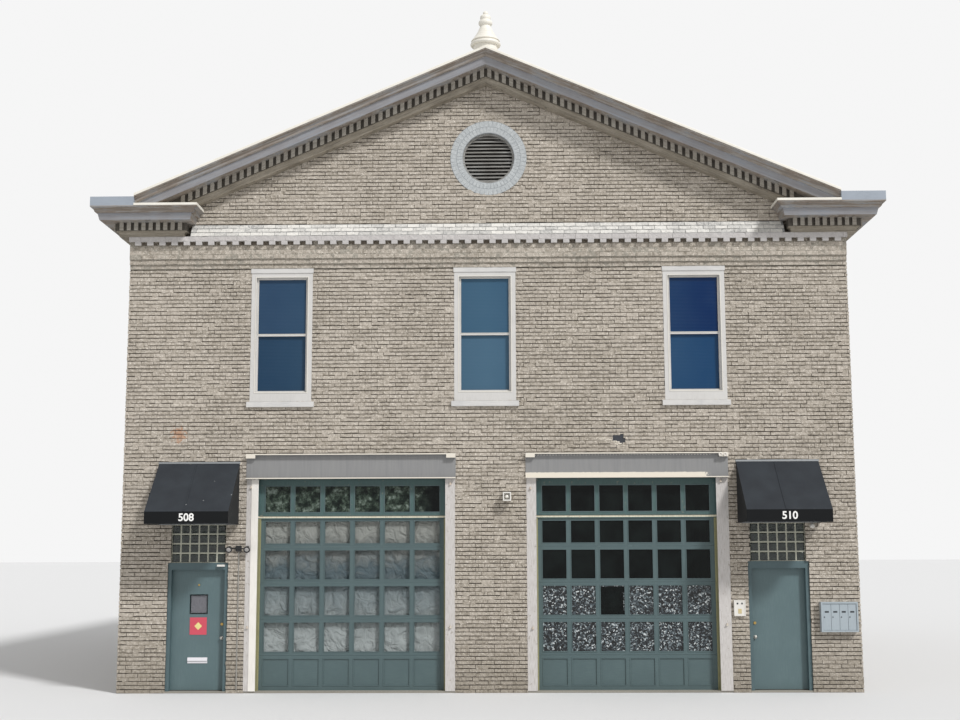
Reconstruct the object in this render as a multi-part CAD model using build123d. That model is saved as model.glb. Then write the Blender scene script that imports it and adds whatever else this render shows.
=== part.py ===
from build123d import *

import math
import os

# A two-storey brick fire station with a pedimented street front, in millimetres.
# The origin is the middle of the walls' footprint at ground level.
# +Z is up, the street front faces -Y, and +X is to the right seen from the street.

# Walls and floors
WIDTH = 12628
DEPTH = 18300
WALL = 330
FLOOR_TOP = 30
UPPER_FLOOR_TOP = 4400
UPPER_FLOOR_THICK = 300

# Roof, its top at the wall's face lifted over the cornice
ROOF_RISE = 0.4277
EAVE_LIFT = 112.5
ROOF_THICK = 200
RIDGE_CAP_REACH = 150
RIDGE_CAP_THICK = 8

# Frieze of corbelled brick on the front, each step as rise of its top and reach
FRIEZE_HIGH = 563
CORBEL_STEPS = ((78, 30), (167, 58), (473, 85))
FRIEZE_REACH = 150
BRICK_DENTIL_WIDTH = 108
BRICK_DENTIL_PITCH = 216
BRICK_DENTIL_HIGH = 63
WASH_HIGH = 235

# Cornice
BED_REACH = 215
BED_FOOT = 170
BED_LIP = 14
BED_HIGH = 97
DENTIL_HIGH = 140
DENTIL_BACK = 210
DENTIL_REACH = 60
DENTIL_WIDTH = 70
DENTIL_PITCH = 129
DENTIL_CORNER = 1080
FASCIA_REACH = 452
FASCIA_LEAN = 28
FASCIA_HIGH = 118
CROWN_REACH = 96
CROWN_HIGH = 89
CROWN_LIP = 20
CROWN_SWELL = 12
CAP_THICK = 43
CAP_OVERHANG = 10
RETURN_LONG = 1274
MITRE_STUB = 60

# Raking cornice, its apex over the ridge
RAKE_LIFT = 30
RAKE_DENTIL_HIGH = 150

# Box gutters
GUTTER_HIGH = 158
GUTTER_LIP = 45
GUTTER_FLOOR = 43
GUTTER_RETURN = 178
GUTTER_END_PLATE = 10

# Finial
FINIAL_SETBACK = 330
FINIAL_LIFT = 70
FINIAL_HIGH = 660
FINIAL_RADIUS = 270
FINIAL_PLINTH_RADIUS = 215
FINIAL_ROLL = 30
FINIAL_STEP = 30
FINIAL_SKIRT_RADIUS = 255
FINIAL_HOLLOW = 16
FINIAL_NECK_RADIUS = 88
FINIAL_COLLAR_RADIUS = 125
FINIAL_COLLAR_HIGH = 100
FINIAL_GROOVE = 17
FINIAL_CUP_RADIUS = 96
FINIAL_CUP_HIGH = 88
FINIAL_BALL_RADIUS = 46
FINIAL_BALL_SEAT = 26
FINIAL_LOBES = 8
FINIAL_LOBE_RADIUS = 30

# Round attic vent, its middle over the gable's base
VENT_X = 40
VENT_RISE = 1427
VENT_RING_RADIUS = 680
VENT_HOLE_RADIUS = 460
VENT_RING_PROUD = 14
VENT_FRAME = 32
VENT_SLATS = 13
VENT_SLAT_THICK = 12
VENT_SLAT_DEEP = 78
VENT_SLAT_TILT = 38
VENT_RECESS = 40

# Double-hung windows
WINDOW_WIDTH = 1080
WINDOW_HIGH = 2280
FRONT_WINDOWS = (-3610, -34, 3633)
SIDE_WINDOWS = (-6600, -2200, 2200, 6600)
UPPER_SILL_RISE = 570
LOWER_SILL = 1150
CASING_PROUD = 12
FRAME_DEEP = 45
JAMB = 85
HEAD = 80
SILL_RAIL = 160
SASH_THICK = 34
SASH_STILE = 35
SASH_RAIL = 30
MEETING_RAIL = 40
GLASS = 6
GLASS_SETBACK = 10
SILL_HIGH = 100
SILL_PROUD = 65
SILL_HORN = 48
SILL_SLOPE = 14
LINTEL_HIGH = 80
LINTEL_PROUD = 26
LINTEL_HORN = 12

# Garage openings, each from its rough left edge to its rough right edge
GARAGES = ((-4165, -562), (670, 4134))
GARAGE_TOP = 3620
FAR_JAMB = 205
NEAR_JAMB = 168
JAMB_PROUD = 10
JAMB_DEEP = 160
STOP = 28
STOP_THICK = 22
TRANSOM_BASE = 2990
TRANSOM_BEAD = 55
TRANSOM_THICK = 40
TRANSOM_RAIL = 62
DOOR_THICK = 45
DOOR_TOP = 2950
DOOR_COVER = 18
SECTION_HIGH = 613
SECTION_GAP = 3
RAIL = 60
FOOT_RAIL = 84
PANEL_DEEP = 12
PANES_ACROSS = 6
MUNTIN = 86
STILE = 104
CHANNEL_HIGH = 430
CHANNEL_FLANGE = 90
CHANNEL_STEEL = 18
CHANNEL_OVERLAP = 12
CHANNEL_LUG = 160
CHANNEL_LUG_HIGH = 58

# Entrance doors, by the middle of each frame
ENTRANCES = (-4980, 4957)
FRAME_WIDTH = 1040
FRAME_TOP = 2190
FRAME_SETBACK = 20
FRAME_STOP_DEEP = 100
FRAME_REBATE = 50
FRAME_FACE = 61
FRAME_HEAD = 118
REBATE = 17
LEAF_THICK = 45
LEAF_GAP = 6
LEAF_FOOT_GAP = 10
HINGE_HEIGHTS = (260, 1040, 1820)
KNUCKLE_RADIUS = 7
KNUCKLE_HIGH = 34
KNUCKLE_GAP = 0.3
PIN_RADIUS = 3
PIN_CLEARANCE = 0.3
HINGE_LEAF = 2.5
HINGE_PLATE_DEEP = 32
LITE_WIDTH = 316
LITE_BASE = 1315
LITE_HIGH = 336
LITE_BEAD = 14
KNOB_HIGH = 912
KNOB_ROSE = 30
KNOB_ROSE_THICK = 5
KNOB_NECK = 11
KNOB_NECK_LONG = 28
KNOB_RADIUS = 27
KNOB_REACH = 62
DEADBOLT_HIGH = 1146
DEADBOLT_RADIUS = 26
DEADBOLT_PROUD = 14
DEADBOLT_TAPER = 4
LATCH_INSET = 62
LETTER_PLATE = 340
LETTER_BASE = 489
LETTER_HIGH = 97
LETTER_THICK = 10
LETTER_HOOD = 28
VIEWER_RADIUS = 16
VIEWER_PROUD = 12
VIEWER_HIGH = 1810
DOOR_PLAQUE = 290
DOOR_PLAQUE_BASE = 969
PLAQUE_THICK = 3

# Glass block over each entrance
BLOCK_WIDTH = 944
BLOCK_TOP = 2840
BLOCK_THICK = 95
BLOCK_SETBACK = 40

# Awnings
AWNINGS = ((-5700, -4295), (4285, 5700))
AWNING_REACH = 914
AWNING_WALL_TOP = 3900
AWNING_FRONT_TOP = 3045
AWNING_FOOT = 2840
CANVAS = 6
TUBE = 25
TUBE_GAP = 0.3

# Small fittings on the front
MAILBOXES = (5625, 6248, 1005, 1503)
MAILBOX_DEEP = 130
MAILBOX_RIM = 26
MAILBOX_JOINT = 3
MAILBOX_DOORS = 4
INTERCOM = (4176, 4370, 1271, 1538)
INTERCOM_DEEP = 55
INTERCOM_RIM = 12
WALL_LAMP = (265, 405, 3225, 3375)
WALL_LAMP_DEEP = 200
WALL_LAMP_RIM = 20
FLOOD_X = -4280
FLOOD_Z = 2430
FLOOD_SPREAD = 155
FLOOD_RADIUS = 58
FLOOD_LONG = 110
FLOOD_TILT = 112
FLOOD_BOX = 100
FLOOD_BOX_DEEP = 45
FLOOD_ARM = 10
FLOOD_FORWARD = 24
DOOR_LAMP = 130
DOOR_LAMP_INSET = 60
ROUND_LAMP_RADIUS = 50
ROUND_LAMP_DEEP = 45
ROUND_LAMP_ASIDE = 28
ROUND_LAMP_DROP = 5
CONDUIT_RADIUS = 12
CONDUIT_TOP = 2371
CONDUIT_FOOT = 60
STRAP_HEIGHTS = (300, 1300, 2250)
STRAP_HIGH = 20
STRAP_THICK = 4
STRAP_WRAP = 2
PINTLE = 34
PINTLE_PLACES = ((-4090, 3470), (-640, 3520), (-4110, 1090), (-640, 1090),
                 (742, 3440), (4010, 3550), (765, 1070), (4055, 1120))

# Heights and faces worked out from the sizes above
FRONT = -DEPTH / 2
INNER_FRONT = FRONT + WALL
SIDE = WIDTH / 2
INNER_SIDE = SIDE - WALL
RETURN_END = SIDE - RETURN_LONG
DENTIL_END = SIDE - DENTIL_CORNER
GUTTER_END = SIDE - GUTTER_RETURN
CEILING = UPPER_FLOOR_TOP - UPPER_FLOOR_THICK
UPPER_SILL = UPPER_FLOOR_TOP + UPPER_SILL_RISE
CORBEL_BASE = UPPER_SILL + WINDOW_HIGH + LINTEL_HIGH
GABLE_BASE = CORBEL_BASE + FRIEZE_HIGH
VENT_Z = GABLE_BASE + VENT_RISE
BED_TOP = GABLE_BASE + BED_HIGH
SOFFIT = BED_TOP + DENTIL_HIGH
CROWN_TOTAL = FASCIA_HIGH + CROWN_HIGH + CROWN_LIP
CROWN_TOP = SOFFIT + CROWN_TOTAL
CROWN_EDGE = FASCIA_REACH + FASCIA_LEAN + CROWN_REACH + CROWN_LIP / 2
CAP_TOP = CROWN_TOP + CAP_THICK
SLOPE_LENGTH = math.hypot(1, ROOF_RISE)
ROOF_APEX = CROWN_TOP + EAVE_LIFT + ROOF_RISE * SIDE
RAKE_APEX = ROOF_APEX + RAKE_LIFT
FINIAL_BASE = RAKE_APEX + FINIAL_LIFT
ROOF_UNDERSIDE = ROOF_APEX - ROOF_THICK * SLOPE_LENGTH
RAKE_SOFFIT = RAKE_APEX - (CROWN_TOTAL + CAP_THICK) * SLOPE_LENGTH
RAKE_BED = RAKE_SOFFIT - RAKE_DENTIL_HIGH
CLEAR_WIDTH = FRAME_WIDTH - 2 * FRAME_FACE
CLEAR_TOP = FRAME_TOP - FRAME_HEAD
LEAF_WIDTH = CLEAR_WIDTH + 2 * REBATE - 2 * LEAF_GAP
LEAF_BASE = FLOOR_TOP + LEAF_FOOT_GAP
LEAF_TOP = CLEAR_TOP + REBATE - LEAF_GAP
LEAF_INNER = FRONT + FRAME_SETBACK + FRAME_STOP_DEEP + FRAME_REBATE
LEAF_OUTER = LEAF_INNER - LEAF_THICK
PIN_Y = LEAF_INNER + KNUCKLE_RADIUS + 1


def block(x0, x1, y0, y1, z0, z1):
    """Box between two opposite corners."""
    middle = Pos((x0 + x1) / 2, (y0 + y1) / 2, (z0 + z1) / 2)
    return middle * Box(x1 - x0, y1 - y0, z1 - z0)


def plan_prism(points, z0, z1):
    """Outline in plan, raised from z0 to z1."""
    return extrude(Plane.XY.offset(z0) * make_face(Polyline(*points, close=True)), amount=z1 - z0)


def front_prism(points, y0, y1):
    """Outline in the front elevation, carried from y0 to y1."""
    outline = make_face(Polyline(*points, close=True))
    return extrude(Plane.XZ.offset(-y1) * outline, amount=y1 - y0)


def side_prism(points, x0, x1):
    """Outline in the side elevation, carried from x0 to x1."""
    outline = make_face(Polyline(*points, close=True))
    return extrude(Plane.YZ.offset(x0) * outline, amount=x1 - x0)


def both_sides(shape):
    """A shape and its mirror image across the building's middle."""
    return [shape, mirror(shape, Plane.YZ)]


def both_ends(shape):
    """A shape on the front and its mirror image on the rear."""
    return [shape, mirror(shape, Plane.XZ)]


def write(node, shapes):
    """Write one node's solids to its own file."""
    solids = []
    for shape in shapes if isinstance(shapes, list) else [shapes]:
        solids += list(shape.solids())
    export_step(Compound(children=solids) if len(solids) > 1 else solids[0], f"parts/{node}.step")


def roof_line(apex, x):
    """Height of a sloping line at x, where apex is its height at the middle."""
    return apex - ROOF_RISE * abs(x)


# Walls, floors and roof

def window_places():
    """Where each window stands: the middle of its opening's foot, turned to face outwards."""
    places = [Pos(x, FRONT, UPPER_SILL) for x in FRONT_WINDOWS]
    for foot in (LOWER_SILL, UPPER_SILL):
        places += [Pos(x, -FRONT, foot) * Rot(Z=180) for x in FRONT_WINDOWS]
        places += [Pos(-SIDE, y, foot) * Rot(Z=-90) for y in SIDE_WINDOWS]
        places += [Pos(SIDE, y, foot) * Rot(Z=90) for y in SIDE_WINDOWS]
    return places


def window_cut():
    """What each window takes out of its wall, sill included."""
    half = WINDOW_WIDTH / 2
    return block(-half, half, -1, WALL + 1, -SILL_HIGH, WINDOW_HIGH)


def cut_windows(wall):
    """A wall with its windows cut through."""
    cutter = window_cut()
    near = [place * cutter for place in window_places()]
    return wall - near


def ground_floor():
    """Floor slab, with a threshold in each doorway."""
    slab = block(-INNER_SIDE, INNER_SIDE, INNER_FRONT, -INNER_FRONT, 0, FLOOR_TOP)
    half = FRAME_WIDTH / 2
    sills = [block(x - half, x + half, FRONT, INNER_FRONT, 0, FLOOR_TOP) for x in ENTRANCES]
    sills += [block(x0, x1, FRONT, INNER_FRONT, 0, FLOOR_TOP) for x0, x1 in GARAGES]
    return slab + sills


def second_floor():
    """Upper floor deck."""
    return block(-INNER_SIDE, INNER_SIDE, INNER_FRONT, -INNER_FRONT, CEILING, UPPER_FLOOR_TOP)


def front_piers():
    """Brick piers of the ground storey, closing in on the glass block over each entrance."""
    half = FRAME_WIDTH / 2
    left_door = (ENTRANCES[0] - half, ENTRANCES[0] + half)
    right_door = (ENTRANCES[1] - half, ENTRANCES[1] + half)
    edges = ((-SIDE, left_door[0], BLOCK_TOP), (left_door[1], GARAGES[0][0], BLOCK_TOP),
             (GARAGES[0][1], GARAGES[1][0], GARAGE_TOP), (GARAGES[1][1], right_door[0], BLOCK_TOP),
             (right_door[1], SIDE, BLOCK_TOP))
    piers = [block(x0, x1, FRONT, INNER_FRONT, 0, top) for x0, x1, top in edges]
    glazed = BLOCK_WIDTH / 2
    margins = [block(door + near, door + far, FRONT, INNER_FRONT, FRAME_TOP, BLOCK_TOP)
               for door in ENTRANCES for near, far in ((-half, -glazed), (glazed, half))]
    return piers + margins


def over_doors():
    """Brickwork over each entrance, between its head and the garage heads."""
    left = block(-SIDE, GARAGES[0][0], FRONT, INNER_FRONT, BLOCK_TOP, GARAGE_TOP)
    right = block(GARAGES[1][1], SIDE, FRONT, INNER_FRONT, BLOCK_TOP, GARAGE_TOP)
    return [left, right]


def front_wall_upper():
    """Upper storey of the front wall."""
    return cut_windows(block(-SIDE, SIDE, FRONT, INNER_FRONT, GARAGE_TOP, GABLE_BASE))


def gable_outline(base):
    """Gable from a level base up to the roof's underside."""
    eave = roof_line(ROOF_UNDERSIDE, SIDE)
    return [(-SIDE, base), (SIDE, base), (SIDE, eave), (0, ROOF_UNDERSIDE), (-SIDE, eave)]


def front_gable():
    """Front gable, with the round hole of the attic vent."""
    gable = front_prism(gable_outline(GABLE_BASE), FRONT, INNER_FRONT)
    hole = Plane.XZ.offset(-INNER_FRONT) * (Pos(VENT_X, VENT_Z) * Circle(VENT_RING_RADIUS))
    return gable - extrude(hole, amount=WALL)


def rear_wall():
    """Rear wall from the ground to its gable."""
    return cut_windows(front_prism(gable_outline(0), -INNER_FRONT, -FRONT))


def left_wall():
    """Left wall, its top cut to the roof's slope."""
    outer = roof_line(ROOF_UNDERSIDE, SIDE)
    inner = roof_line(ROOF_UNDERSIDE, INNER_SIDE)
    outline = [(-SIDE, 0), (-INNER_SIDE, 0), (-INNER_SIDE, inner), (-SIDE, outer)]
    return cut_windows(front_prism(outline, INNER_FRONT, -INNER_FRONT))


def roof_slope():
    """Left slope of the roof, from wall face to ridge."""
    top = roof_line(ROOF_APEX, SIDE)
    underside = roof_line(ROOF_UNDERSIDE, SIDE)
    outline = [(-SIDE, underside), (0, ROOF_UNDERSIDE), (0, ROOF_APEX), (-SIDE, top)]
    return front_prism(outline, FRONT, -FRONT)


def ridge_cap():
    """Folded metal along the ridge."""
    reach = RIDGE_CAP_REACH
    lift = RIDGE_CAP_THICK * SLOPE_LENGTH
    edge = roof_line(ROOF_APEX, reach)
    outline = [(-reach, edge), (0, ROOF_APEX), (reach, edge),
               (reach, edge + lift), (0, ROOF_APEX + lift), (-reach, edge + lift)]
    return front_prism(outline, FRONT, -FRONT)


# Corbelled frieze

def toothed_line(start, along, outward, length, width, pitch, reach):
    """Outline points of one straight run of teeth, centred on its length."""
    count = int((length - width) // pitch) + 1
    first = (length - (count - 1) * pitch - width) / 2
    points = []
    for tooth in range(count):
        near = start + along * (first + tooth * pitch)
        far = near + along * width
        points += [near, near + outward * reach, far + outward * reach, far]
    return points


def corbel_table():
    """Stepped brick frieze with its course of brick dentils."""
    outline = [(FRONT, CORBEL_BASE)]
    foot = CORBEL_BASE
    for rise, reach in CORBEL_STEPS:
        outline += [(FRONT - reach, foot), (FRONT - reach, CORBEL_BASE + rise)]
        foot = CORBEL_BASE + rise
    outline += [(FRONT - FRIEZE_REACH, foot), (FRONT - FRIEZE_REACH, GABLE_BASE), (FRONT, GABLE_BASE)]
    table = side_prism(outline, -SIDE, SIDE)
    back = CORBEL_STEPS[-1][1]
    teeth = toothed_line(Vector(-SIDE, FRONT - back), Vector(1, 0), Vector(0, -1), WIDTH,
                         BRICK_DENTIL_WIDTH, BRICK_DENTIL_PITCH, FRIEZE_REACH - back)
    course = [(-SIDE, FRONT)] + teeth + [(SIDE, FRONT)]
    return table + plan_prism(course, foot - BRICK_DENTIL_HIGH, foot)


def frieze_wash():
    """Sloping painted wash between the cornice returns."""
    outline = [(FRONT, GABLE_BASE), (FRONT - FRIEZE_REACH, GABLE_BASE), (FRONT, GABLE_BASE + WASH_HIGH)]
    return side_prism(outline, -DENTIL_END, DENTIL_END)


# Cornice mouldings, each profile standing out from the wall along local x

def crown_profile():
    """Crown moulding over a leaning fascia, its foot on the soffit."""
    lean = FASCIA_REACH + FASCIA_LEAN
    low = (lean, FASCIA_HIGH)
    high = (lean + CROWN_REACH, FASCIA_HIGH + CROWN_HIGH)
    middle = ((low[0] + high[0]) / 2, (low[1] + high[1]) / 2)
    swell = (low[0] + CROWN_REACH / 4 + CROWN_SWELL, low[1] + CROWN_HIGH / 4 - CROWN_SWELL)
    hollow = (high[0] - CROWN_REACH / 4 - CROWN_SWELL, high[1] - CROWN_HIGH / 4 + CROWN_SWELL)
    lines = Polyline((0, 0), (FASCIA_REACH, 0), low)
    lines += ThreePointArc(low, swell, middle)
    lines += ThreePointArc(middle, hollow, high)
    lines += Polyline(high, (CROWN_EDGE, high[1]), (CROWN_EDGE, CROWN_TOTAL), (0, CROWN_TOTAL), (0, 0))
    return make_face(lines)


def bed_profile():
    """Cove under the dentils."""
    swell = (BED_FOOT + BED_LIP, BED_HIGH - 2 * BED_LIP)
    lines = Polyline((0, 0), (BED_FOOT, 0), (BED_FOOT, BED_LIP))
    lines += ThreePointArc((BED_FOOT, BED_LIP), swell, (BED_REACH, BED_HIGH - BED_LIP))
    lines += Polyline((BED_REACH, BED_HIGH - BED_LIP), (BED_REACH, BED_HIGH), (0, BED_HIGH), (0, 0))
    return make_face(lines)


def cap_profile():
    """Metal cap over the crown."""
    return make_face(Polyline((0, 0), (CROWN_EDGE + CAP_OVERHANG, 0),
                              (CROWN_EDGE + CAP_OVERHANG, CAP_THICK - CAP_OVERHANG),
                              (CROWN_EDGE, CAP_THICK), (0, CAP_THICK), close=True))


def run_moulding(profile, points, outward):
    """Profile swept along a bent line, mitred at each bend."""
    start = Vector(*points[0])
    heading = (Vector(*points[1]) - start).normalized()
    plane = Plane(origin=start, x_dir=outward, z_dir=heading)
    return sweep(plane * profile, path=Polyline(*points), transition=Transition.RIGHT)


def eaves_route(end, z):
    """Line round the left side, from one return's end to the other, starting inside the wall."""
    return [(-end, FRONT + MITRE_STUB, z), (-end, FRONT, z), (-SIDE, FRONT, z),
            (-SIDE, -FRONT, z), (-end, -FRONT, z), (-end, -FRONT - MITRE_STUB, z)]


def clear_of_walls(shape):
    """A moulding without what lies inside the walls' outer faces."""
    return shape - block(-SIDE, SIDE, FRONT, -FRONT, 0, RAKE_APEX)


def eaves_cornice():
    """Left eaves cornice: crown and fascia, returned on the front and the rear."""
    route = eaves_route(RETURN_END + CROWN_EDGE, SOFFIT)
    return clear_of_walls(run_moulding(crown_profile(), route, (1, 0, 0)))


def bed_moulding():
    """Left bed moulding under the dentils."""
    route = eaves_route(DENTIL_END + DENTIL_BACK + DENTIL_REACH, GABLE_BASE)
    return clear_of_walls(run_moulding(bed_profile(), route, (1, 0, 0)))


def dentil_course():
    """Left course of dentils, round both corners."""
    end = DENTIL_END + DENTIL_REACH
    run = SIDE - end + DENTIL_BACK
    across = Vector(-1, 0)
    back = DENTIL_BACK
    front = toothed_line(Vector(-end, FRONT - back), across, Vector(0, -1), run,
                         DENTIL_WIDTH, DENTIL_PITCH, DENTIL_REACH)
    side = toothed_line(Vector(-SIDE - back, FRONT - back), Vector(0, 1), across, DEPTH + 2 * back,
                        DENTIL_WIDTH, DENTIL_PITCH, DENTIL_REACH)
    rear = toothed_line(Vector(-SIDE - back, back - FRONT), Vector(1, 0), Vector(0, 1), run,
                        DENTIL_WIDTH, DENTIL_PITCH, DENTIL_REACH)
    outline = [(-end, FRONT), (-end, FRONT - back)] + front + [(-SIDE - back, FRONT - back)] + side
    outline += [(-SIDE - back, back - FRONT)] + rear + [(-end, back - FRONT), (-end, -FRONT)]
    outline += [(-SIDE, -FRONT), (-SIDE, FRONT)]
    return plan_prism(outline, BED_TOP, SOFFIT)


def gutter():
    """Left box gutter over the cornice, its ends turned onto the front and the rear."""
    edge = CROWN_EDGE
    top = GUTTER_HIGH
    inner = roof_line(ROOF_APEX, SIDE) - CROWN_TOP
    profile = make_face(Polyline((0, 0), (edge, 0), (edge, top), (edge - GUTTER_LIP, top),
                                 (edge - GUTTER_LIP, GUTTER_FLOOR), (GUTTER_LIP, GUTTER_FLOOR),
                                 (GUTTER_LIP, inner), (0, inner), close=True))
    route = [(-GUTTER_END, FRONT, CROWN_TOP), (-SIDE, FRONT, CROWN_TOP),
             (-SIDE, -FRONT, CROWN_TOP), (-GUTTER_END, -FRONT, CROWN_TOP)]
    trough = run_moulding(profile, route, (0, -1, 0))
    plate = block(-GUTTER_END - GUTTER_END_PLATE, -GUTTER_END, FRONT - edge, FRONT,
                  CROWN_TOP, CROWN_TOP + top)
    return trough + both_ends(plate)


def return_cap():
    """Cap over the front left return, beside the gutter's end."""
    edge = CROWN_EDGE + CAP_OVERHANG
    end = RETURN_END - CAP_OVERHANG
    top = CAP_THICK - CAP_OVERHANG
    outline = [(FRONT, 0), (FRONT - edge, 0), (FRONT - edge, top), (FRONT - CROWN_EDGE, CAP_THICK),
               (FRONT, CAP_THICK)]
    return Pos(Z=CROWN_TOP) * side_prism(outline, -GUTTER_END, -end)


def rake_route(apex):
    """Line up the right rake and down the left one, past the gutters' ends."""
    reach = SIDE + CROWN_EDGE
    foot = roof_line(apex, reach)
    return [(reach, FRONT, foot), (0, FRONT, apex), (-reach, FRONT, foot)]


def on_returns(shape):
    """The part of a rake that stands on the returns, between the gutters' ends."""
    room = block(-GUTTER_END, GUTTER_END, FRONT - 2 * CROWN_EDGE, FRONT, CAP_TOP, 2 * RAKE_APEX)
    return shape & room


def rake_crown():
    """Front raking crown and fascia, mitred at the apex."""
    return on_returns(run_moulding(crown_profile(), rake_route(RAKE_SOFFIT), (0, -1, 0)))


def rake_cap():
    """Metal cap along the front rakes."""
    foot = RAKE_SOFFIT + CROWN_TOTAL * SLOPE_LENGTH
    return on_returns(run_moulding(cap_profile(), rake_route(foot), (0, -1, 0)))


def rake_bed():
    """Raking bed moulding, its top against the dentils."""
    foot = RAKE_BED - BED_HIGH * SLOPE_LENGTH
    return on_returns(run_moulding(bed_profile(), rake_route(foot), (0, -1, 0)))


def rake_tooth(x):
    """One dentil of the rake, with plumb sides."""
    half = DENTIL_WIDTH / 2
    outline = [(x - half, roof_line(RAKE_BED, x - half)), (x + half, roof_line(RAKE_BED, x + half)),
               (x + half, roof_line(RAKE_SOFFIT, x + half)), (x - half, roof_line(RAKE_SOFFIT, x - half))]
    return front_prism(outline, FRONT - DENTIL_BACK - DENTIL_REACH, FRONT - DENTIL_BACK)


def rake_dentils():
    """Front raking course of dentils."""
    outline = [(-SIDE, roof_line(RAKE_BED, SIDE)), (0, RAKE_BED), (SIDE, roof_line(RAKE_BED, SIDE)),
               (SIDE, roof_line(RAKE_SOFFIT, SIDE)), (0, RAKE_SOFFIT), (-SIDE, roof_line(RAKE_SOFFIT, SIDE))]
    course = front_prism(outline, FRONT - DENTIL_BACK, FRONT)
    count = int((RAKE_BED - CAP_TOP) / ROOF_RISE // DENTIL_PITCH)
    places = [(tooth + 0.5) * DENTIL_PITCH for tooth in range(count)]
    teeth = [rake_tooth(side * x) for x in places for side in (-1, 1)]
    return on_returns(course + teeth)


def finial():
    """Turned metal finial: a hollow-sided spire, a collar and a lobed acorn, on a plinth that saddles the apex."""
    base = FINIAL_BASE
    skirt = base + 2 * FINIAL_ROLL + FINIAL_STEP
    ball = base + FINIAL_HIGH - FINIAL_BALL_RADIUS
    cup_head = ball - FINIAL_BALL_SEAT
    cup_foot = cup_head - FINIAL_CUP_HIGH
    collar_head = cup_foot - FINIAL_GROOVE
    collar_foot = collar_head - FINIAL_COLLAR_HIGH
    neck = FINIAL_NECK_RADIUS
    step = FINIAL_RADIUS - FINIAL_ROLL
    seat = math.sqrt(FINIAL_BALL_RADIUS ** 2 - FINIAL_BALL_SEAT ** 2)
    waist = (FINIAL_SKIRT_RADIUS + neck) / 2 - FINIAL_HOLLOW
    lines = Polyline((0, base), (step, base))
    lines += ThreePointArc((step, base), (FINIAL_RADIUS, base + FINIAL_ROLL), (step, base + 2 * FINIAL_ROLL))
    lines += Polyline((step, base + 2 * FINIAL_ROLL), (step, skirt), (FINIAL_SKIRT_RADIUS, skirt))
    lines += ThreePointArc((FINIAL_SKIRT_RADIUS, skirt), (waist, (skirt + collar_foot) / 2), (neck, collar_foot))
    lines += ThreePointArc((neck, collar_foot), (FINIAL_COLLAR_RADIUS, (collar_foot + collar_head) / 2),
                           (neck, collar_head))
    lines += Polyline((neck, collar_head), (neck, cup_foot))
    lines += ThreePointArc((neck, cup_foot), (FINIAL_CUP_RADIUS, cup_foot + FINIAL_CUP_HIGH / 3), (seat, cup_head))
    lines += ThreePointArc((seat, cup_head), (FINIAL_BALL_RADIUS, ball), (0, ball + FINIAL_BALL_RADIUS))
    lines += Polyline((0, ball + FINIAL_BALL_RADIUS), (0, base))
    turned = revolve(Plane.XZ * make_face(lines), Axis.Z)
    lobe_ring = FINIAL_CUP_RADIUS - FINIAL_LOBE_RADIUS
    lobe_place = Pos(0, 0, cup_foot + FINIAL_CUP_HIGH / 2)
    for place in PolarLocations(lobe_ring, FINIAL_LOBES):
        turned += lobe_place * place * Sphere(FINIAL_LOBE_RADIUS)
    foot = roof_line(RAKE_APEX, FINIAL_RADIUS)
    plinth = Pos(0, 0, (foot + base) / 2) * Cylinder(FINIAL_PLINTH_RADIUS, base - foot)
    saddle = front_prism([(-FINIAL_RADIUS, foot), (0, RAKE_APEX), (FINIAL_RADIUS, foot)],
                         -FINIAL_RADIUS, FINIAL_RADIUS)
    return Pos(0, FRONT - FINIAL_SETBACK, 0) * (turned + (plinth - saddle))


# Round attic vent

def vent_place():
    """Middle of the vent on the wall's outer face, local y pointing into the building."""
    return Pos(VENT_X, FRONT, VENT_Z)


def disc(radius, y0, y1):
    """Round plate facing the street, from y0 to y1."""
    return Pos(0, (y0 + y1) / 2, 0) * Rot(X=90) * Cylinder(radius, y1 - y0)


def vent_ring():
    """Ring of radial bricks round the vent."""
    outer = disc(VENT_RING_RADIUS, -VENT_RING_PROUD, WALL)
    return vent_place() * (outer - disc(VENT_HOLE_RADIUS, -VENT_RING_PROUD, WALL))


def vent_louvre():
    """Louvre of tilted slats in a round frame."""
    deep = VENT_SLAT_DEEP
    frame = disc(VENT_HOLE_RADIUS, VENT_RECESS, VENT_RECESS + deep)
    bore = disc(VENT_HOLE_RADIUS - VENT_FRAME, VENT_RECESS, VENT_RECESS + deep)
    pitch = 2 * (VENT_HOLE_RADIUS - VENT_FRAME) / VENT_SLATS
    slat = Rot(X=VENT_SLAT_TILT) * Box(2 * VENT_HOLE_RADIUS, deep, VENT_SLAT_THICK)
    places = [(row - (VENT_SLATS - 1) / 2) * pitch for row in range(VENT_SLATS)]
    slats = [(Pos(0, VENT_RECESS + deep / 2, z) * slat) & bore for z in places]
    return vent_place() * ((frame - bore) + slats)


# Double-hung window, on its own axes: x along the wall, y inwards, z from the opening's foot

def window_frame():
    """Casing and both sashes as one built-in unit."""
    half = WINDOW_WIDTH / 2
    sight = half - JAMB
    clear = sight - SASH_STILE
    middle = (SILL_RAIL + WINDOW_HIGH - HEAD) / 2
    casing = block(-half, half, -CASING_PROUD, FRAME_DEEP, 0, WINDOW_HIGH)
    casing -= block(-sight, sight, -CASING_PROUD, FRAME_DEEP, SILL_RAIL, WINDOW_HIGH - HEAD)
    sash = block(-half, half, FRAME_DEEP, FRAME_DEEP + 2 * SASH_THICK, 0, WINDOW_HIGH)
    low = (SILL_RAIL + SASH_RAIL, middle - MEETING_RAIL / 2)
    high = (middle + MEETING_RAIL / 2, WINDOW_HIGH - HEAD - SASH_RAIL)
    for foot, top in (low, high):
        sash -= block(-clear, clear, FRAME_DEEP, FRAME_DEEP + 2 * SASH_THICK, foot, top)
    return casing + sash


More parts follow.
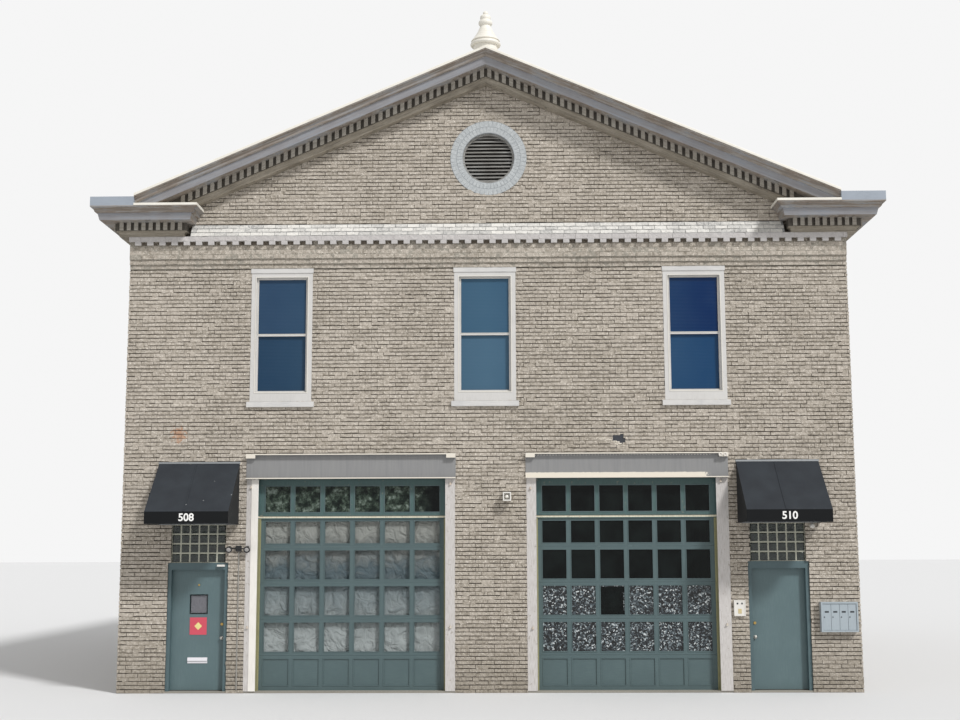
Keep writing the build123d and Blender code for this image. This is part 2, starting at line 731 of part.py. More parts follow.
def window_glass():
    """The two panes of one window, the upper one nearer the street."""
    clear = WINDOW_WIDTH / 2 - JAMB - SASH_STILE
    middle = (SILL_RAIL + WINDOW_HIGH - HEAD) / 2
    upper = FRAME_DEEP + GLASS_SETBACK
    lower = upper + SASH_THICK
    top = WINDOW_HIGH - HEAD - SASH_RAIL
    return [block(-clear, clear, upper, upper + GLASS, middle + MEETING_RAIL / 2, top),
            block(-clear, clear, lower, lower + GLASS, SILL_RAIL + SASH_RAIL, middle - MEETING_RAIL / 2)]


def window_sill():
    """Sill filling the foot of the opening, with a horned nose in front."""
    half = WINDOW_WIDTH / 2
    nose = [(-SILL_PROUD, -SILL_HIGH), (0, -SILL_HIGH), (0, 0), (-SILL_PROUD, -SILL_SLOPE)]
    return side_prism(nose, -half - SILL_HORN, half + SILL_HORN) + block(-half, half, 0, WALL, -SILL_HIGH, 0)


def window_lintel():
    """Plate over the window's head."""
    half = WINDOW_WIDTH / 2 + LINTEL_HORN
    return block(-half, half, -LINTEL_PROUD, 0, WINDOW_HIGH, WINDOW_HIGH + LINTEL_HIGH)


def at_windows(solids):
    """Copies of one window's solids at every window."""
    return [place * solid for place in window_places() for solid in solids]


# Garage doors

def garage_opening(garage):
    """Left and right edges of the opening between a garage's jambs."""
    x0, x1 = garage
    left, right = (FAR_JAMB, NEAR_JAMB) if x0 < 0 else (NEAR_JAMB, FAR_JAMB)
    return x0 + left, x1 - right


def pane_columns(garage):
    """Left and right edges of each column of panes."""
    x0, x1 = garage_opening(garage)
    wide = (x1 - x0 - 2 * STILE - (PANES_ACROSS - 1) * MUNTIN) / PANES_ACROSS
    lefts = [x0 + STILE + column * (wide + MUNTIN) for column in range(PANES_ACROSS)]
    return [(left, left + wide) for left in lefts]


def garage_frame(garage):
    """Jambs with door stops, and the transom frame between them."""
    x0, x1 = garage_opening(garage)
    face = FRONT - JAMB_PROUD
    back = face + JAMB_DEEP
    jambs = []
    for rough, clear, inward in ((garage[0], x0, 1), (garage[1], x1, -1)):
        outline = [(rough, face), (clear, face), (clear, back - STOP_THICK),
                   (clear + inward * STOP, back - STOP_THICK), (clear + inward * STOP, back), (rough, back)]
        jambs.append(plan_prism(outline, FLOOR_TOP, TRANSOM_BASE - TRANSOM_BEAD))
        jambs.append(block(min(rough, clear), max(rough, clear), face, back,
                           TRANSOM_BASE - TRANSOM_BEAD, GARAGE_TOP))
    transom = block(x0, x1, back - TRANSOM_THICK, back, TRANSOM_BASE, GARAGE_TOP)
    bead = block(x0, x1, back - STOP_THICK, back, TRANSOM_BASE - TRANSOM_BEAD, TRANSOM_BASE)
    holes = [block(a, b, back - TRANSOM_THICK, back, TRANSOM_BASE + TRANSOM_RAIL,
                   GARAGE_TOP - 2 * TRANSOM_RAIL) for a, b in pane_columns(garage)]
    return jambs[0] + jambs[1:] + bead + (transom - holes)


def section_heights():
    """Foot and top of each door section."""
    count = int((DOOR_TOP - FLOOR_TOP) // SECTION_HIGH) + 1
    edges = [FLOOR_TOP] + [SECTION_HIGH * row for row in range(1, count)] + [DOOR_TOP]
    return [(foot + (SECTION_GAP if row else 0), edges[row + 1]) for row, foot in enumerate(edges[:-1])]


def garage_door(garage):
    """Sectional door: a panelled foot section under glazed ones."""
    x0, x1 = garage_opening(garage)
    near = FRONT - JAMB_PROUD + JAMB_DEEP
    far = near + DOOR_THICK
    sections = []
    for row, (foot, top) in enumerate(section_heights()):
        section = block(x0 + STOP - DOOR_COVER, x1 - STOP + DOOR_COVER, near, far, foot, top)
        low = foot + (RAIL if row else FOOT_RAIL)
        depth = far if row else near + PANEL_DEEP
        section -= [block(a, b, near, depth, low, top - RAIL) for a, b in pane_columns(garage)]
        sections.append(section)
    return sections


def garage_panes(garage):
    """Panes of one garage door and of the transom over it."""
    near = FRONT - JAMB_PROUD + JAMB_DEEP
    door = near + DOOR_THICK / 2
    transom = near - TRANSOM_THICK / 2
    panes = []
    for a, b in pane_columns(garage):
        for foot, top in section_heights()[1:]:
            panes.append(block(a, b, door - GLASS / 2, door + GLASS / 2, foot + RAIL, top - RAIL))
        panes.append(block(a, b, transom - GLASS / 2, transom + GLASS / 2,
                           TRANSOM_BASE + TRANSOM_RAIL, GARAGE_TOP - 2 * TRANSOM_RAIL))
    return panes


def garage_lintel(garage):
    """Steel channel over a garage, its flanges towards the street."""
    x0, x1 = garage[0] - CHANNEL_OVERLAP, garage[1] + CHANNEL_OVERLAP
    top = GARAGE_TOP + CHANNEL_HIGH
    steel = CHANNEL_STEEL
    outline = [(FRONT, GARAGE_TOP), (FRONT - CHANNEL_FLANGE, GARAGE_TOP),
               (FRONT - CHANNEL_FLANGE, GARAGE_TOP + steel), (FRONT - steel, GARAGE_TOP + steel),
               (FRONT - steel, top - steel), (FRONT - CHANNEL_FLANGE, top - steel),
               (FRONT - CHANNEL_FLANGE, top), (FRONT, top)]
    channel = side_prism(outline, x0, x1)
    lugs = [block(a, a + CHANNEL_LUG, FRONT - CHANNEL_FLANGE, FRONT - steel,
                  top - steel - CHANNEL_LUG_HIGH, top - steel) for a in (x0, x1 - CHANNEL_LUG)]
    return channel + lugs


# Entrance doors

def hinge_side(door):
    """Which way from a door's middle its hinges are: away from the building's middle."""
    return -1 if door < 0 else 1


def hinge_pin_x(door):
    """Where a door's hinge pin stands."""
    return door + hinge_side(door) * (CLEAR_WIDTH / 2 + REBATE - LEAF_GAP / 2)


def hinge_knuckles(door, leaf):
    """Knuckles and plates of a door's hinges: the middle ones for the leaf, the outer ones for the frame."""
    x = hinge_pin_x(door)
    side = hinge_side(door)
    edge = x - side * LEAF_GAP / 2 if leaf else x + side * LEAF_GAP / 2
    inner = edge + (side if leaf else -side) * HINGE_LEAF
    pieces = []
    for height in HINGE_HEIGHTS:
        for step in ((0,) if leaf else (-1, 1)):
            z = height + step * (KNUCKLE_HIGH + KNUCKLE_GAP)
            barrel = Pos(x, PIN_Y, z) * Cylinder(KNUCKLE_RADIUS, KNUCKLE_HIGH)
            plate = block(min(edge, inner), max(edge, inner), LEAF_INNER - HINGE_PLATE_DEEP, PIN_Y,
                          z - KNUCKLE_HIGH / 2, z + KNUCKLE_HIGH / 2)
            if leaf:
                bore = Pos(x, PIN_Y, z) * Cylinder(PIN_RADIUS + PIN_CLEARANCE, KNUCKLE_HIGH)
                pieces.append((barrel + plate) - bore)
            else:
                pieces.append(barrel + plate)
        if not leaf:
            pieces.append(Pos(x, PIN_Y, height) * Cylinder(PIN_RADIUS, 3 * KNUCKLE_HIGH))
    return pieces


def door_frame(door):
    """Steel frame with its stop and the frame's half of the hinges."""
    half = FRAME_WIDTH / 2
    clear = CLEAR_WIDTH / 2
    near = FRONT + FRAME_SETBACK
    stop = near + FRAME_STOP_DEEP
    far = stop + FRAME_REBATE
    frame = block(door - half, door + half, near, far, FLOOR_TOP, FRAME_TOP)
    frame -= block(door - clear, door + clear, near, stop, FLOOR_TOP, CLEAR_TOP)
    frame -= block(door - clear - REBATE, door + clear + REBATE, stop, far, FLOOR_TOP, CLEAR_TOP + REBATE)
    return frame + hinge_knuckles(door, False)


def door_leaf(door, lite):
    """Flush steel leaf with its half of the hinges, and a square lite where it has one."""
    side = hinge_side(door)
    half = LEAF_WIDTH / 2
    leaf = block(door - half, door + half, LEAF_OUTER, LEAF_INNER, LEAF_BASE, LEAF_TOP)
    if lite:
        leaf -= block(door - LITE_WIDTH / 2, door + LITE_WIDTH / 2, LEAF_OUTER, LEAF_INNER,
                      LITE_BASE, LITE_BASE + LITE_HIGH)
    return leaf + hinge_knuckles(door, True)


def door_lite(door):
    """Pane and beads of the square lite."""
    half = LITE_WIDTH / 2
    middle = (LEAF_OUTER + LEAF_INNER) / 2
    outer = block(door - half, door + half, LEAF_OUTER, LEAF_INNER, LITE_BASE, LITE_BASE + LITE_HIGH)
    for y0, y1 in ((LEAF_OUTER, middle - GLASS / 2), (middle + GLASS / 2, LEAF_INNER)):
        outer -= block(door - half + LITE_BEAD, door + half - LITE_BEAD, y0, y1,
                       LITE_BASE + LITE_BEAD, LITE_BASE + LITE_HIGH - LITE_BEAD)
    return outer


def knob(x, z, face, outward):
    """Turned knob on its rose."""
    rose = (KNOB_ROSE, KNOB_ROSE_THICK)
    foot = (KNOB_NECK, 2 * KNOB_ROSE_THICK)
    neck = (KNOB_NECK, KNOB_NECK_LONG)
    widest = (KNOB_RADIUS, (KNOB_NECK_LONG + KNOB_REACH) / 2)
    rim = (KNOB_RADIUS / 2, KNOB_REACH - KNOB_ROSE_THICK)
    lines = Polyline((0, 0), (KNOB_ROSE, 0), rose, foot, neck)
    lines += ThreePointArc(neck, widest, rim)
    lines += Polyline(rim, (0, KNOB_REACH), (0, 0))
    turned = revolve(Plane.XZ * make_face(lines), Axis.Z)
    return Pos(x, face, z) * Rot(X=90 if outward < 0 else -90) * turned


def deadbolt(x, z, face, outward):
    """Round cylinder guard of the deadbolt."""
    guard = Cone(DEADBOLT_RADIUS, DEADBOLT_RADIUS - DEADBOLT_TAPER, DEADBOLT_PROUD,
                 align=(Align.CENTER, Align.CENTER, Align.MIN))
    return Pos(x, face, z) * Rot(X=90 if outward < 0 else -90) * guard


def latch_x(door):
    """Where the knob and deadbolt stand."""
    return door - hinge_side(door) * (LEAF_WIDTH / 2 - LATCH_INSET)


def door_locks(door):
    """Knobs and deadbolt on both faces of a leaf."""
    x = latch_x(door)
    pieces = []
    for face, outward in ((LEAF_OUTER, -1), (LEAF_INNER, 1)):
        pieces.append(knob(x, KNOB_HIGH, face, outward))
        pieces.append(deadbolt(x, DEADBOLT_HIGH, face, outward))
    return pieces


def left_door_extras():
    """Viewer, plaque and letter plate on the left leaf."""
    door = ENTRANCES[0]
    face = LEAF_OUTER
    half = LETTER_PLATE / 2
    top = LETTER_BASE + LETTER_HIGH
    lip = LETTER_BASE + LETTER_HIGH / 3
    hood = [(face, LETTER_BASE), (face - LETTER_THICK, LETTER_BASE), (face - LETTER_THICK, lip),
            (face - LETTER_HOOD, lip + LETTER_THICK), (face - LETTER_THICK, top), (face, top)]
    viewer = Pos(door, face, VIEWER_HIGH) * Rot(X=90) * Cylinder(
        VIEWER_RADIUS, VIEWER_PROUD, align=(Align.CENTER, Align.CENTER, Align.MIN))
    plaque = block(door - DOOR_PLAQUE / 2, door + DOOR_PLAQUE / 2, face - PLAQUE_THICK, face,
                   DOOR_PLAQUE_BASE, DOOR_PLAQUE_BASE + DOOR_PLAQUE)
    return [side_prism(hood, door - half, door + half), viewer, plaque]


def glass_block(door):
    """Panel of glass block over a door, in its mortar."""
    half = BLOCK_WIDTH / 2
    near = FRONT + BLOCK_SETBACK
    return block(door - half, door + half, near, near + BLOCK_THICK, FRAME_TOP, BLOCK_TOP)


# Awnings

def awning_side_outline(inset):
    """Side elevation of an awning, drawn in by an inset."""
    slope = (AWNING_WALL_TOP - AWNING_FRONT_TOP) / AWNING_REACH
    drop = inset * math.hypot(1, slope)
    reach = AWNING_REACH - inset
    return [(FRONT, AWNING_FOOT), (FRONT - reach, AWNING_FOOT),
            (FRONT - reach, AWNING_FRONT_TOP + slope * inset - drop), (FRONT, AWNING_WALL_TOP - drop)]


def awning_canvas(awning):
    """Stretched canvas cover, open underneath and at the wall."""
    x0, x1 = awning
    cover = side_prism(awning_side_outline(0), x0, x1)
    return cover - side_prism(awning_side_outline(CANVAS), x0 + CANVAS, x1 - CANVAS)


def awning_frame(awning):
    """Welded square tubes close inside the canvas: a rib at each end and four rails."""
    x0, x1 = awning[0] + CANVAS + TUBE_GAP, awning[1] - CANVAS - TUBE_GAP
    outer = awning_side_outline(CANVAS + TUBE_GAP)
    hollow = awning_side_outline(CANVAS + TUBE_GAP + TUBE)
    slope = (AWNING_WALL_TOP - AWNING_FRONT_TOP) / AWNING_REACH
    front = outer[2][0]
    front_top = outer[2][1]
    wall_top = outer[3][1] - slope * TUBE
    inner = [(FRONT - TUBE, AWNING_FOOT + TUBE), (hollow[1][0], AWNING_FOOT + TUBE), hollow[2],
             (FRONT - TUBE, hollow[3][1] - slope * TUBE)]
    rib = side_prism(outer, x0, x0 + TUBE) - side_prism(inner, x0, x0 + TUBE)
    rails = [block(x0, x1, FRONT - TUBE, FRONT, AWNING_FOOT, AWNING_FOOT + TUBE),
             block(x0, x1, FRONT - TUBE, FRONT, wall_top - TUBE, wall_top),
             block(x0, x1, front, front + TUBE, AWNING_FOOT, AWNING_FOOT + TUBE),
             block(x0, x1, front, front + TUBE, front_top - TUBE, front_top)]
    return rib + Pos(X=x1 - x0 - TUBE) * rib + rails


# Small fittings on the front

def mailboxes():
    """Cluster of mailboxes in one rimmed case."""
    x0, x1, z0, z1 = MAILBOXES
    face = FRONT - MAILBOX_DEEP
    case = block(x0, x1, face, FRONT, z0, z1)
    inner = (x0 + MAILBOX_RIM, x1 - MAILBOX_RIM, z0 + MAILBOX_RIM, z1 - MAILBOX_RIM)
    case -= block(inner[0], inner[1], face, face + MAILBOX_RIM, inner[2], inner[3])
    wide = (inner[1] - inner[0]) / MAILBOX_DOORS
    doors = [block(inner[0] + wide * n + MAILBOX_JOINT, inner[0] + wide * (n + 1) - MAILBOX_JOINT,
                   face + MAILBOX_RIM / 2, face + MAILBOX_RIM,
                   inner[2] + MAILBOX_JOINT, inner[3] - MAILBOX_JOINT) for n in range(MAILBOX_DOORS)]
    return case + doors


def intercom():
    """Entry phone with a sunk face."""
    x0, x1, z0, z1 = INTERCOM
    face = FRONT - INTERCOM_DEEP
    case = block(x0, x1, face, FRONT, z0, z1)
    return case - block(x0 + INTERCOM_RIM, x1 - INTERCOM_RIM, face, face + INTERCOM_RIM / 2,
                        z0 + INTERCOM_RIM, z1 - INTERCOM_RIM)


def wall_lamp():
    """Square lamp on the middle pier, open to the street."""
    x0, x1, z0, z1 = WALL_LAMP
    face = FRONT - WALL_LAMP_DEEP
    case = block(x0, x1, face, FRONT, z0, z1)
    return case - block(x0 + WALL_LAMP_RIM, x1 - WALL_LAMP_RIM, face, face + WALL_LAMP_DEEP / 2,
                        z0 + WALL_LAMP_RIM, z1 - WALL_LAMP_RIM)


def flood_lamp():
    """Twin-headed flood lamp on its box."""
    half = FLOOD_BOX / 2
    arm_y = FRONT - FLOOD_BOX_DEEP - FLOOD_ARM
    box = block(FLOOD_X - half, FLOOD_X + half, FRONT - FLOOD_BOX_DEEP, FRONT, FLOOD_Z - half, FLOOD_Z + half)
    stem = block(FLOOD_X - FLOOD_ARM, FLOOD_X + FLOOD_ARM, arm_y - FLOOD_ARM, FRONT - FLOOD_BOX_DEEP,
                 FLOOD_Z - FLOOD_ARM, FLOOD_Z + FLOOD_ARM)
    arm = Pos(FLOOD_X, arm_y, FLOOD_Z) * Rot(Y=90) * Cylinder(FLOOD_ARM, 2 * FLOOD_SPREAD)
    heads = [Pos(FLOOD_X + side * FLOOD_SPREAD, arm_y - FLOOD_FORWARD, FLOOD_Z) * Rot(X=FLOOD_TILT)
             * Cone(FLOOD_RADIUS / 2, FLOOD_RADIUS, FLOOD_LONG) for side in (-1, 1)]
    return box + stem + arm + heads


def conduit():
    """Cable pipe from the flood lamp down the pier, in its straps."""
    centre = FRONT - CONDUIT_RADIUS - TUBE_GAP
    high = CONDUIT_TOP - CONDUIT_FOOT
    pipe = Pos(FLOOD_X, centre, CONDUIT_FOOT + high / 2) * Cylinder(CONDUIT_RADIUS, high)
    strap = CONDUIT_RADIUS + STRAP_WRAP
    straps = [block(FLOOD_X - 2 * strap, FLOOD_X + 2 * strap, FRONT - STRAP_THICK, FRONT,
                    z - STRAP_HIGH / 2, z + STRAP_HIGH / 2) for z in STRAP_HEIGHTS]
    hoops = [Pos(FLOOD_X, centre, z) * Cylinder(strap, STRAP_HIGH) for z in STRAP_HEIGHTS]
    wall = block(FLOOD_X - 3 * strap, FLOOD_X + 3 * strap, FRONT, INNER_FRONT, 0, CONDUIT_TOP)
    return (pipe + straps + hoops) - wall


def pintle(x, z):
    """Old gate pintle: a stub with its upright pin, on a jamb's face."""
    face = FRONT - JAMB_PROUD
    stub = block(x - PINTLE / 2, x + PINTLE / 2, face - PINTLE, face, z - PINTLE / 3, z + PINTLE / 3)
    pin = Pos(x, face - PINTLE / 2, z + PINTLE / 2) * Cylinder(PINTLE / 4, PINTLE)
    return stub + pin


def entrance_lamps():
    """Small lamp over the left door, and round lamp on the brick beside the right one."""
    left = ENTRANCES[0] + FRAME_WIDTH / 2 - DOOR_LAMP_INSET
    face = FRONT + FRAME_SETBACK
    case = block(left - DOOR_LAMP, left, face - DOOR_LAMP / 3, face, FRAME_TOP - DOOR_LAMP / 2,
                 FRAME_TOP - DOOR_LAMP / 4)
    right = Pos(ENTRANCES[1] + FRAME_WIDTH / 2 + ROUND_LAMP_ASIDE + ROUND_LAMP_RADIUS, FRONT,
                AWNING_FOOT - ROUND_LAMP_DROP - ROUND_LAMP_RADIUS)
    lamp = right * Rot(X=90) * Cone(ROUND_LAMP_RADIUS, ROUND_LAMP_RADIUS / 2, ROUND_LAMP_DEEP,
                                    align=(Align.CENTER, Align.CENTER, Align.MIN))
    return [case, lamp]


os.makedirs("parts", exist_ok=True)

write("ground_floor", ground_floor())
write("second_floor", second_floor())
write("front_piers", front_piers())
write("front_wall_over_doors", over_doors())
write("front_wall_upper", front_wall_upper())
write("front_gable", front_gable())
write("rear_wall", rear_wall())
write("left_wall", left_wall())
write("right_wall", mirror(left_wall(), Plane.YZ))
write("roof_left_slope", roof_slope())
write("roof_right_slope", mirror(roof_slope(), Plane.YZ))
write("ridge_cap", ridge_cap())

write("corbel_table", corbel_table())
write("frieze_wash", frieze_wash())
write("eaves_cornices", both_sides(eaves_cornice()))
write("bed_mouldings", both_sides(bed_moulding()))
write("dentil_courses", both_sides(dentil_course()))
write("box_gutters", both_sides(gutter()))
write("return_caps", [end for side in both_sides(return_cap()) for end in both_ends(side)])
write("rake_crowns", both_ends(rake_crown()))
write("rake_caps", both_ends(rake_cap()))
write("rake_bed_mouldings", both_ends(rake_bed()))
write("rake_dentils", both_ends(rake_dentils()))
write("finial", finial())
write("vent_ring", vent_ring())
write("vent_louvre", vent_louvre())

write("window_frames", at_windows([window_frame()]))
write("window_glass", at_windows(window_glass()))
write("window_sills", at_windows([window_sill()]))
write("window_lintels", at_windows([window_lintel()]))

write("garage_frames", [garage_frame(garage) for garage in GARAGES])
write("left_garage_door", garage_door(GARAGES[0]))
write("right_garage_door", garage_door(GARAGES[1]))
write("garage_panes", [pane for garage in GARAGES for pane in garage_panes(garage)])
write("garage_lintels", [garage_lintel(garage) for garage in GARAGES])

write("entrance_frames", [door_frame(door) for door in ENTRANCES])
write("left_door_leaf", door_leaf(ENTRANCES[0], True))
write("left_door_lite", door_lite(ENTRANCES[0]))
write("left_door_fittings", door_locks(ENTRANCES[0]) + left_door_extras())
write("right_door_leaf", door_leaf(ENTRANCES[1], False))
write("right_door_fittings", door_locks(ENTRANCES[1]))
write("glass_block_panels", [glass_block(door) for door in ENTRANCES])

write("left_awning_canvas", awning_canvas(AWNINGS[0]))
write("right_awning_canvas", awning_canvas(AWNINGS[1]))
write("awning_frames", [awning_frame(awning) for awning in AWNINGS])
write("mailboxes", mailboxes())
write("intercom", intercom())
write("wall_lamp", wall_lamp())
write("flood_lamp", flood_lamp())
write("conduit", conduit())
write("gate_pintles", [pintle(x, z) for x, z in PINTLE_PLACES])
write("entrance_lamps", entrance_lamps())
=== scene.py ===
"""Fire station building: bricks, finishes, small fittings and the studio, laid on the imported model."""
import logging
import math
from contextlib import contextmanager
from dataclasses import dataclass, field
from enum import Enum
from functools import partial
from typing import Callable, Iterable, Iterator, NamedTuple

import bpy
import numpy as np
from mathutils import Matrix, Vector


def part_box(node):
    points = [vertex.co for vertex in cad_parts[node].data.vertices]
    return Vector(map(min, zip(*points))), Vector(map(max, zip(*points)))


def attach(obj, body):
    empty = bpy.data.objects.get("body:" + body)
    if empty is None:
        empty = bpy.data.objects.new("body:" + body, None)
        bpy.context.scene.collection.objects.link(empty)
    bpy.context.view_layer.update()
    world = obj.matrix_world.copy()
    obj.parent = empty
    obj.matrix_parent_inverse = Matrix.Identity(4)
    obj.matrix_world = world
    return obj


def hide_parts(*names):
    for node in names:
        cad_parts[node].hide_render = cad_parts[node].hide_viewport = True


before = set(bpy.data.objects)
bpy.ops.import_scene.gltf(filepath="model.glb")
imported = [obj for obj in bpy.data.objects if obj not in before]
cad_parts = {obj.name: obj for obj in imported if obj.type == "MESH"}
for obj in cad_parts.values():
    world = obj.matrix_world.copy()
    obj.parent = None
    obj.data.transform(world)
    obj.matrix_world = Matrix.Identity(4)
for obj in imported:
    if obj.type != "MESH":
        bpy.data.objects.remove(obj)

Piece = bpy.types.Object
Socket = bpy.types.NodeSocket
Adder = Callable[..., Socket]
Point = tuple[float, float, float]
Stops = tuple[tuple[float, str], ...]

LOG = logging.getLogger("fire_station")
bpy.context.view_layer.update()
HOUSE = "building"
# What is left of a cut brick is dropped where it is narrower than this, in metres.
SLIVER = 0.012

# The walls, from the frame, in metres.
HALF_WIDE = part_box("front_piers")[1].x
HALF_DEEP = -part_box("front_piers")[0].y
FRONT = -HALF_DEEP
FRIEZE_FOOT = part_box("corbel_table")[0].z
EAVES_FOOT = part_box("bed_mouldings")[0].z
GABLE_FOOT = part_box("frieze_wash")[1].z
GABLE_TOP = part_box("front_gable")[1].z
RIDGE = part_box("roof_left_slope")[1].z
PITCH = (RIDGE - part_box("ridge_cap")[0].z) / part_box("ridge_cap")[1].x

# The openings, as the part's source gives them, in metres.
FRONT_WINDOWS = (-3.610, -0.034, 3.633)
SIDE_WINDOWS = (-6.600, -2.200, 2.200, 6.600)
LOWER_SILL = 1.150
UPPER_SILL = 4.970
WINDOW_WIDE = 1.080
WINDOW_HIGH = 2.280
SIGHT_HALF = 0.455
SIGHT_FOOT = 0.160
SIGHT_HEAD = 2.200
CASING_PROUD = 0.012
GARAGE_ROUGH = ((-4.165, -0.562), (0.670, 4.134))
GARAGE_CLEAR = ((-3.960, -0.730), (0.838, 3.929))
GARAGE_HEAD = 3.620
LINTEL_HEAD = 4.050
TRANSOM_FOOT = 2.990
TRANSOM_PANES = (3.052, 3.496)
DOOR_FACE = -9.000
TRANSOM_FACE = -9.040
SECTION_ROWS = ((0.676, 1.166), (1.289, 1.779), (1.902, 2.392), (2.515, 2.890))
FOOT_PANEL = (0.114, 0.553)
PANE_COLUMNS = 6
PANE_STARTS = (-3.856, 0.942)
PANE_WIDE = (0.432, 0.409)
PANE_PITCH = (0.518, 0.495)
ENTRANCES = (-4.980, 4.957)
ENTRANCE_WIDE = 1.040
ENTRANCE_HEAD = 2.840
BLOCK_FOOT = 2.190
BLOCK_WIDE = 0.944
LEAF_FACE = -9.025
VENT = (0.040, 9.320)
VENT_OUTER = 0.680
VENT_INNER = 0.460

# Where a kind of node differs from the rest: the sockets that plain arguments fill, its preset, its main output.
FEEDS = {"Mix": (0, 6, 7)}
PRESETS = {"Mix": {"data_type": "RGBA"}}
MAIN_OUTPUTS = {"Mix": 2, "TexWave": 1}
# What turns waves a metre into a wave texture's scale.
WAVE = 2 * math.pi / 20


def linear(colour: str) -> tuple[float, float, float, float]:
    """Turn an sRGB colour to linear.

    Args:
        colour: the colour as "#rrggbb".

    Returns:
        Linear red, green, blue and an alpha of 1.
    """
    parts = [int(colour[place:place + 2], 16) / 255 for place in (1, 3, 5)]
    red, green, blue = [part / 12.92 if part <= 0.04045 else ((part + 0.055) / 1.055) ** 2.4 for part in parts]
    return red, green, blue, 1.0


def per_metre(millimetres: float) -> float:
    """Scale of a pattern, from the size of one of its features in millimetres."""
    return 1000.0 / millimetres


def add_node(tree: bpy.types.NodeTree, kind: str, *feeds: object, out: int | str | None = None,
             **settings: object) -> Socket | None:
    """Add one shader node with its settings and links.

    Args:
        tree: the node tree that it joins.
        kind: the node's type, without its ShaderNode prefix.
        feeds: what its first sockets get: a number, a colour as "#rrggbb" or the socket that feeds it.
        out: the output that is wanted, if not the main one.
        settings: its own properties, a ramp's stops, or further sockets by name, with _ for a space.

    Returns:
        The wanted output, where it has any.
    """
    node = tree.nodes.new("ShaderNode" + kind)
    own = getattr(node, "color_ramp", node)
    sockets = dict(zip(FEEDS.get(kind, range(len(feeds))), feeds))
    for key, value in (PRESETS.get(kind, {}) | settings).items():
        if key == "stops":
            for number, (place, colour) in ((0, value[0]), (1, value[-1])):
                own.elements[number].position = place
                own.elements[number].color = linear(colour)
            for place, colour in value[1:-1]:
                own.elements.new(place).color = linear(colour)
        elif hasattr(own, key):
            setattr(own, key, value)
        else:
            sockets[key.replace("_", " ")] = value
    for key, value in sockets.items():
        if isinstance(value, Socket):
            tree.links.new(value, node.inputs[key])
        else:
            node.inputs[key].default_value = linear(value) if isinstance(value, str) else value
    wanted = MAIN_OUTPUTS.get(kind, 0) if out is None else out
    return node.outputs[wanted] if node.outputs else None


def blank(owner: bpy.types.ID) -> Adder:
    """Give a material or a world an empty node tree.

    Args:
        owner: the material or the world.

    Returns:
        What adds a node to the tree.
    """
    owner.use_nodes = True
    owner.node_tree.nodes.clear()
    return partial(add_node, owner.node_tree)


class Grain(Enum):
    """Which way brush marks, streaks and grain run, as the pattern's squeeze on X, Y and Z."""

    LEVEL = (0.05, 0.05, 1.0)
    COURSE = (0.35, 0.35, 2.2)
    UPRIGHT = (1.0, 1.0, 0.06)
    RAKING = (0.05, 0.05, 1.001)
    NONE = (1.0, 1.0, 1.0)


@dataclass(frozen=True)
class Finish:
    """What a surface is made of and how it was finished."""

    name: str

    def lay(self, add: Adder, place: Socket) -> Socket:
        """Lay the finish's nodes; each finish has its own.

        Args:
            add: adds a node to the material.
            place: the object coordinates.

        Returns:
            The surface shader.
        """
        raise NotImplementedError

    def material(self) -> bpy.types.Material:
        """Give the finish's material, made at its first use.

        Returns:
            The material.
        """
        made = bpy.data.materials.get(self.name)
        if not made:
            made = bpy.data.materials.new(self.name)
            add = blank(made)
            add("OutputMaterial", self.lay(add, add("TexCoord", out="Object")))
        return made


def along_grain(add: Adder, place: Socket, grain: Grain) -> Socket:
    """Stretch the object coordinates along a grain.

    Args:
        add: adds a node to the material.
        place: the object coordinates.
        grain: the way that the grain runs.

    Returns:
        The stretched coordinates.
    """
    if grain is Grain.RAKING:
        x, y, z = add("SeparateXYZ", place).node.outputs
        outward = add("Math", x, operation="ABSOLUTE")
        place = add("CombineXYZ", x, y, add("Math", outward, PITCH, z, operation="MULTIPLY_ADD"))
    return add("Mapping", place, Scale=grain.value)


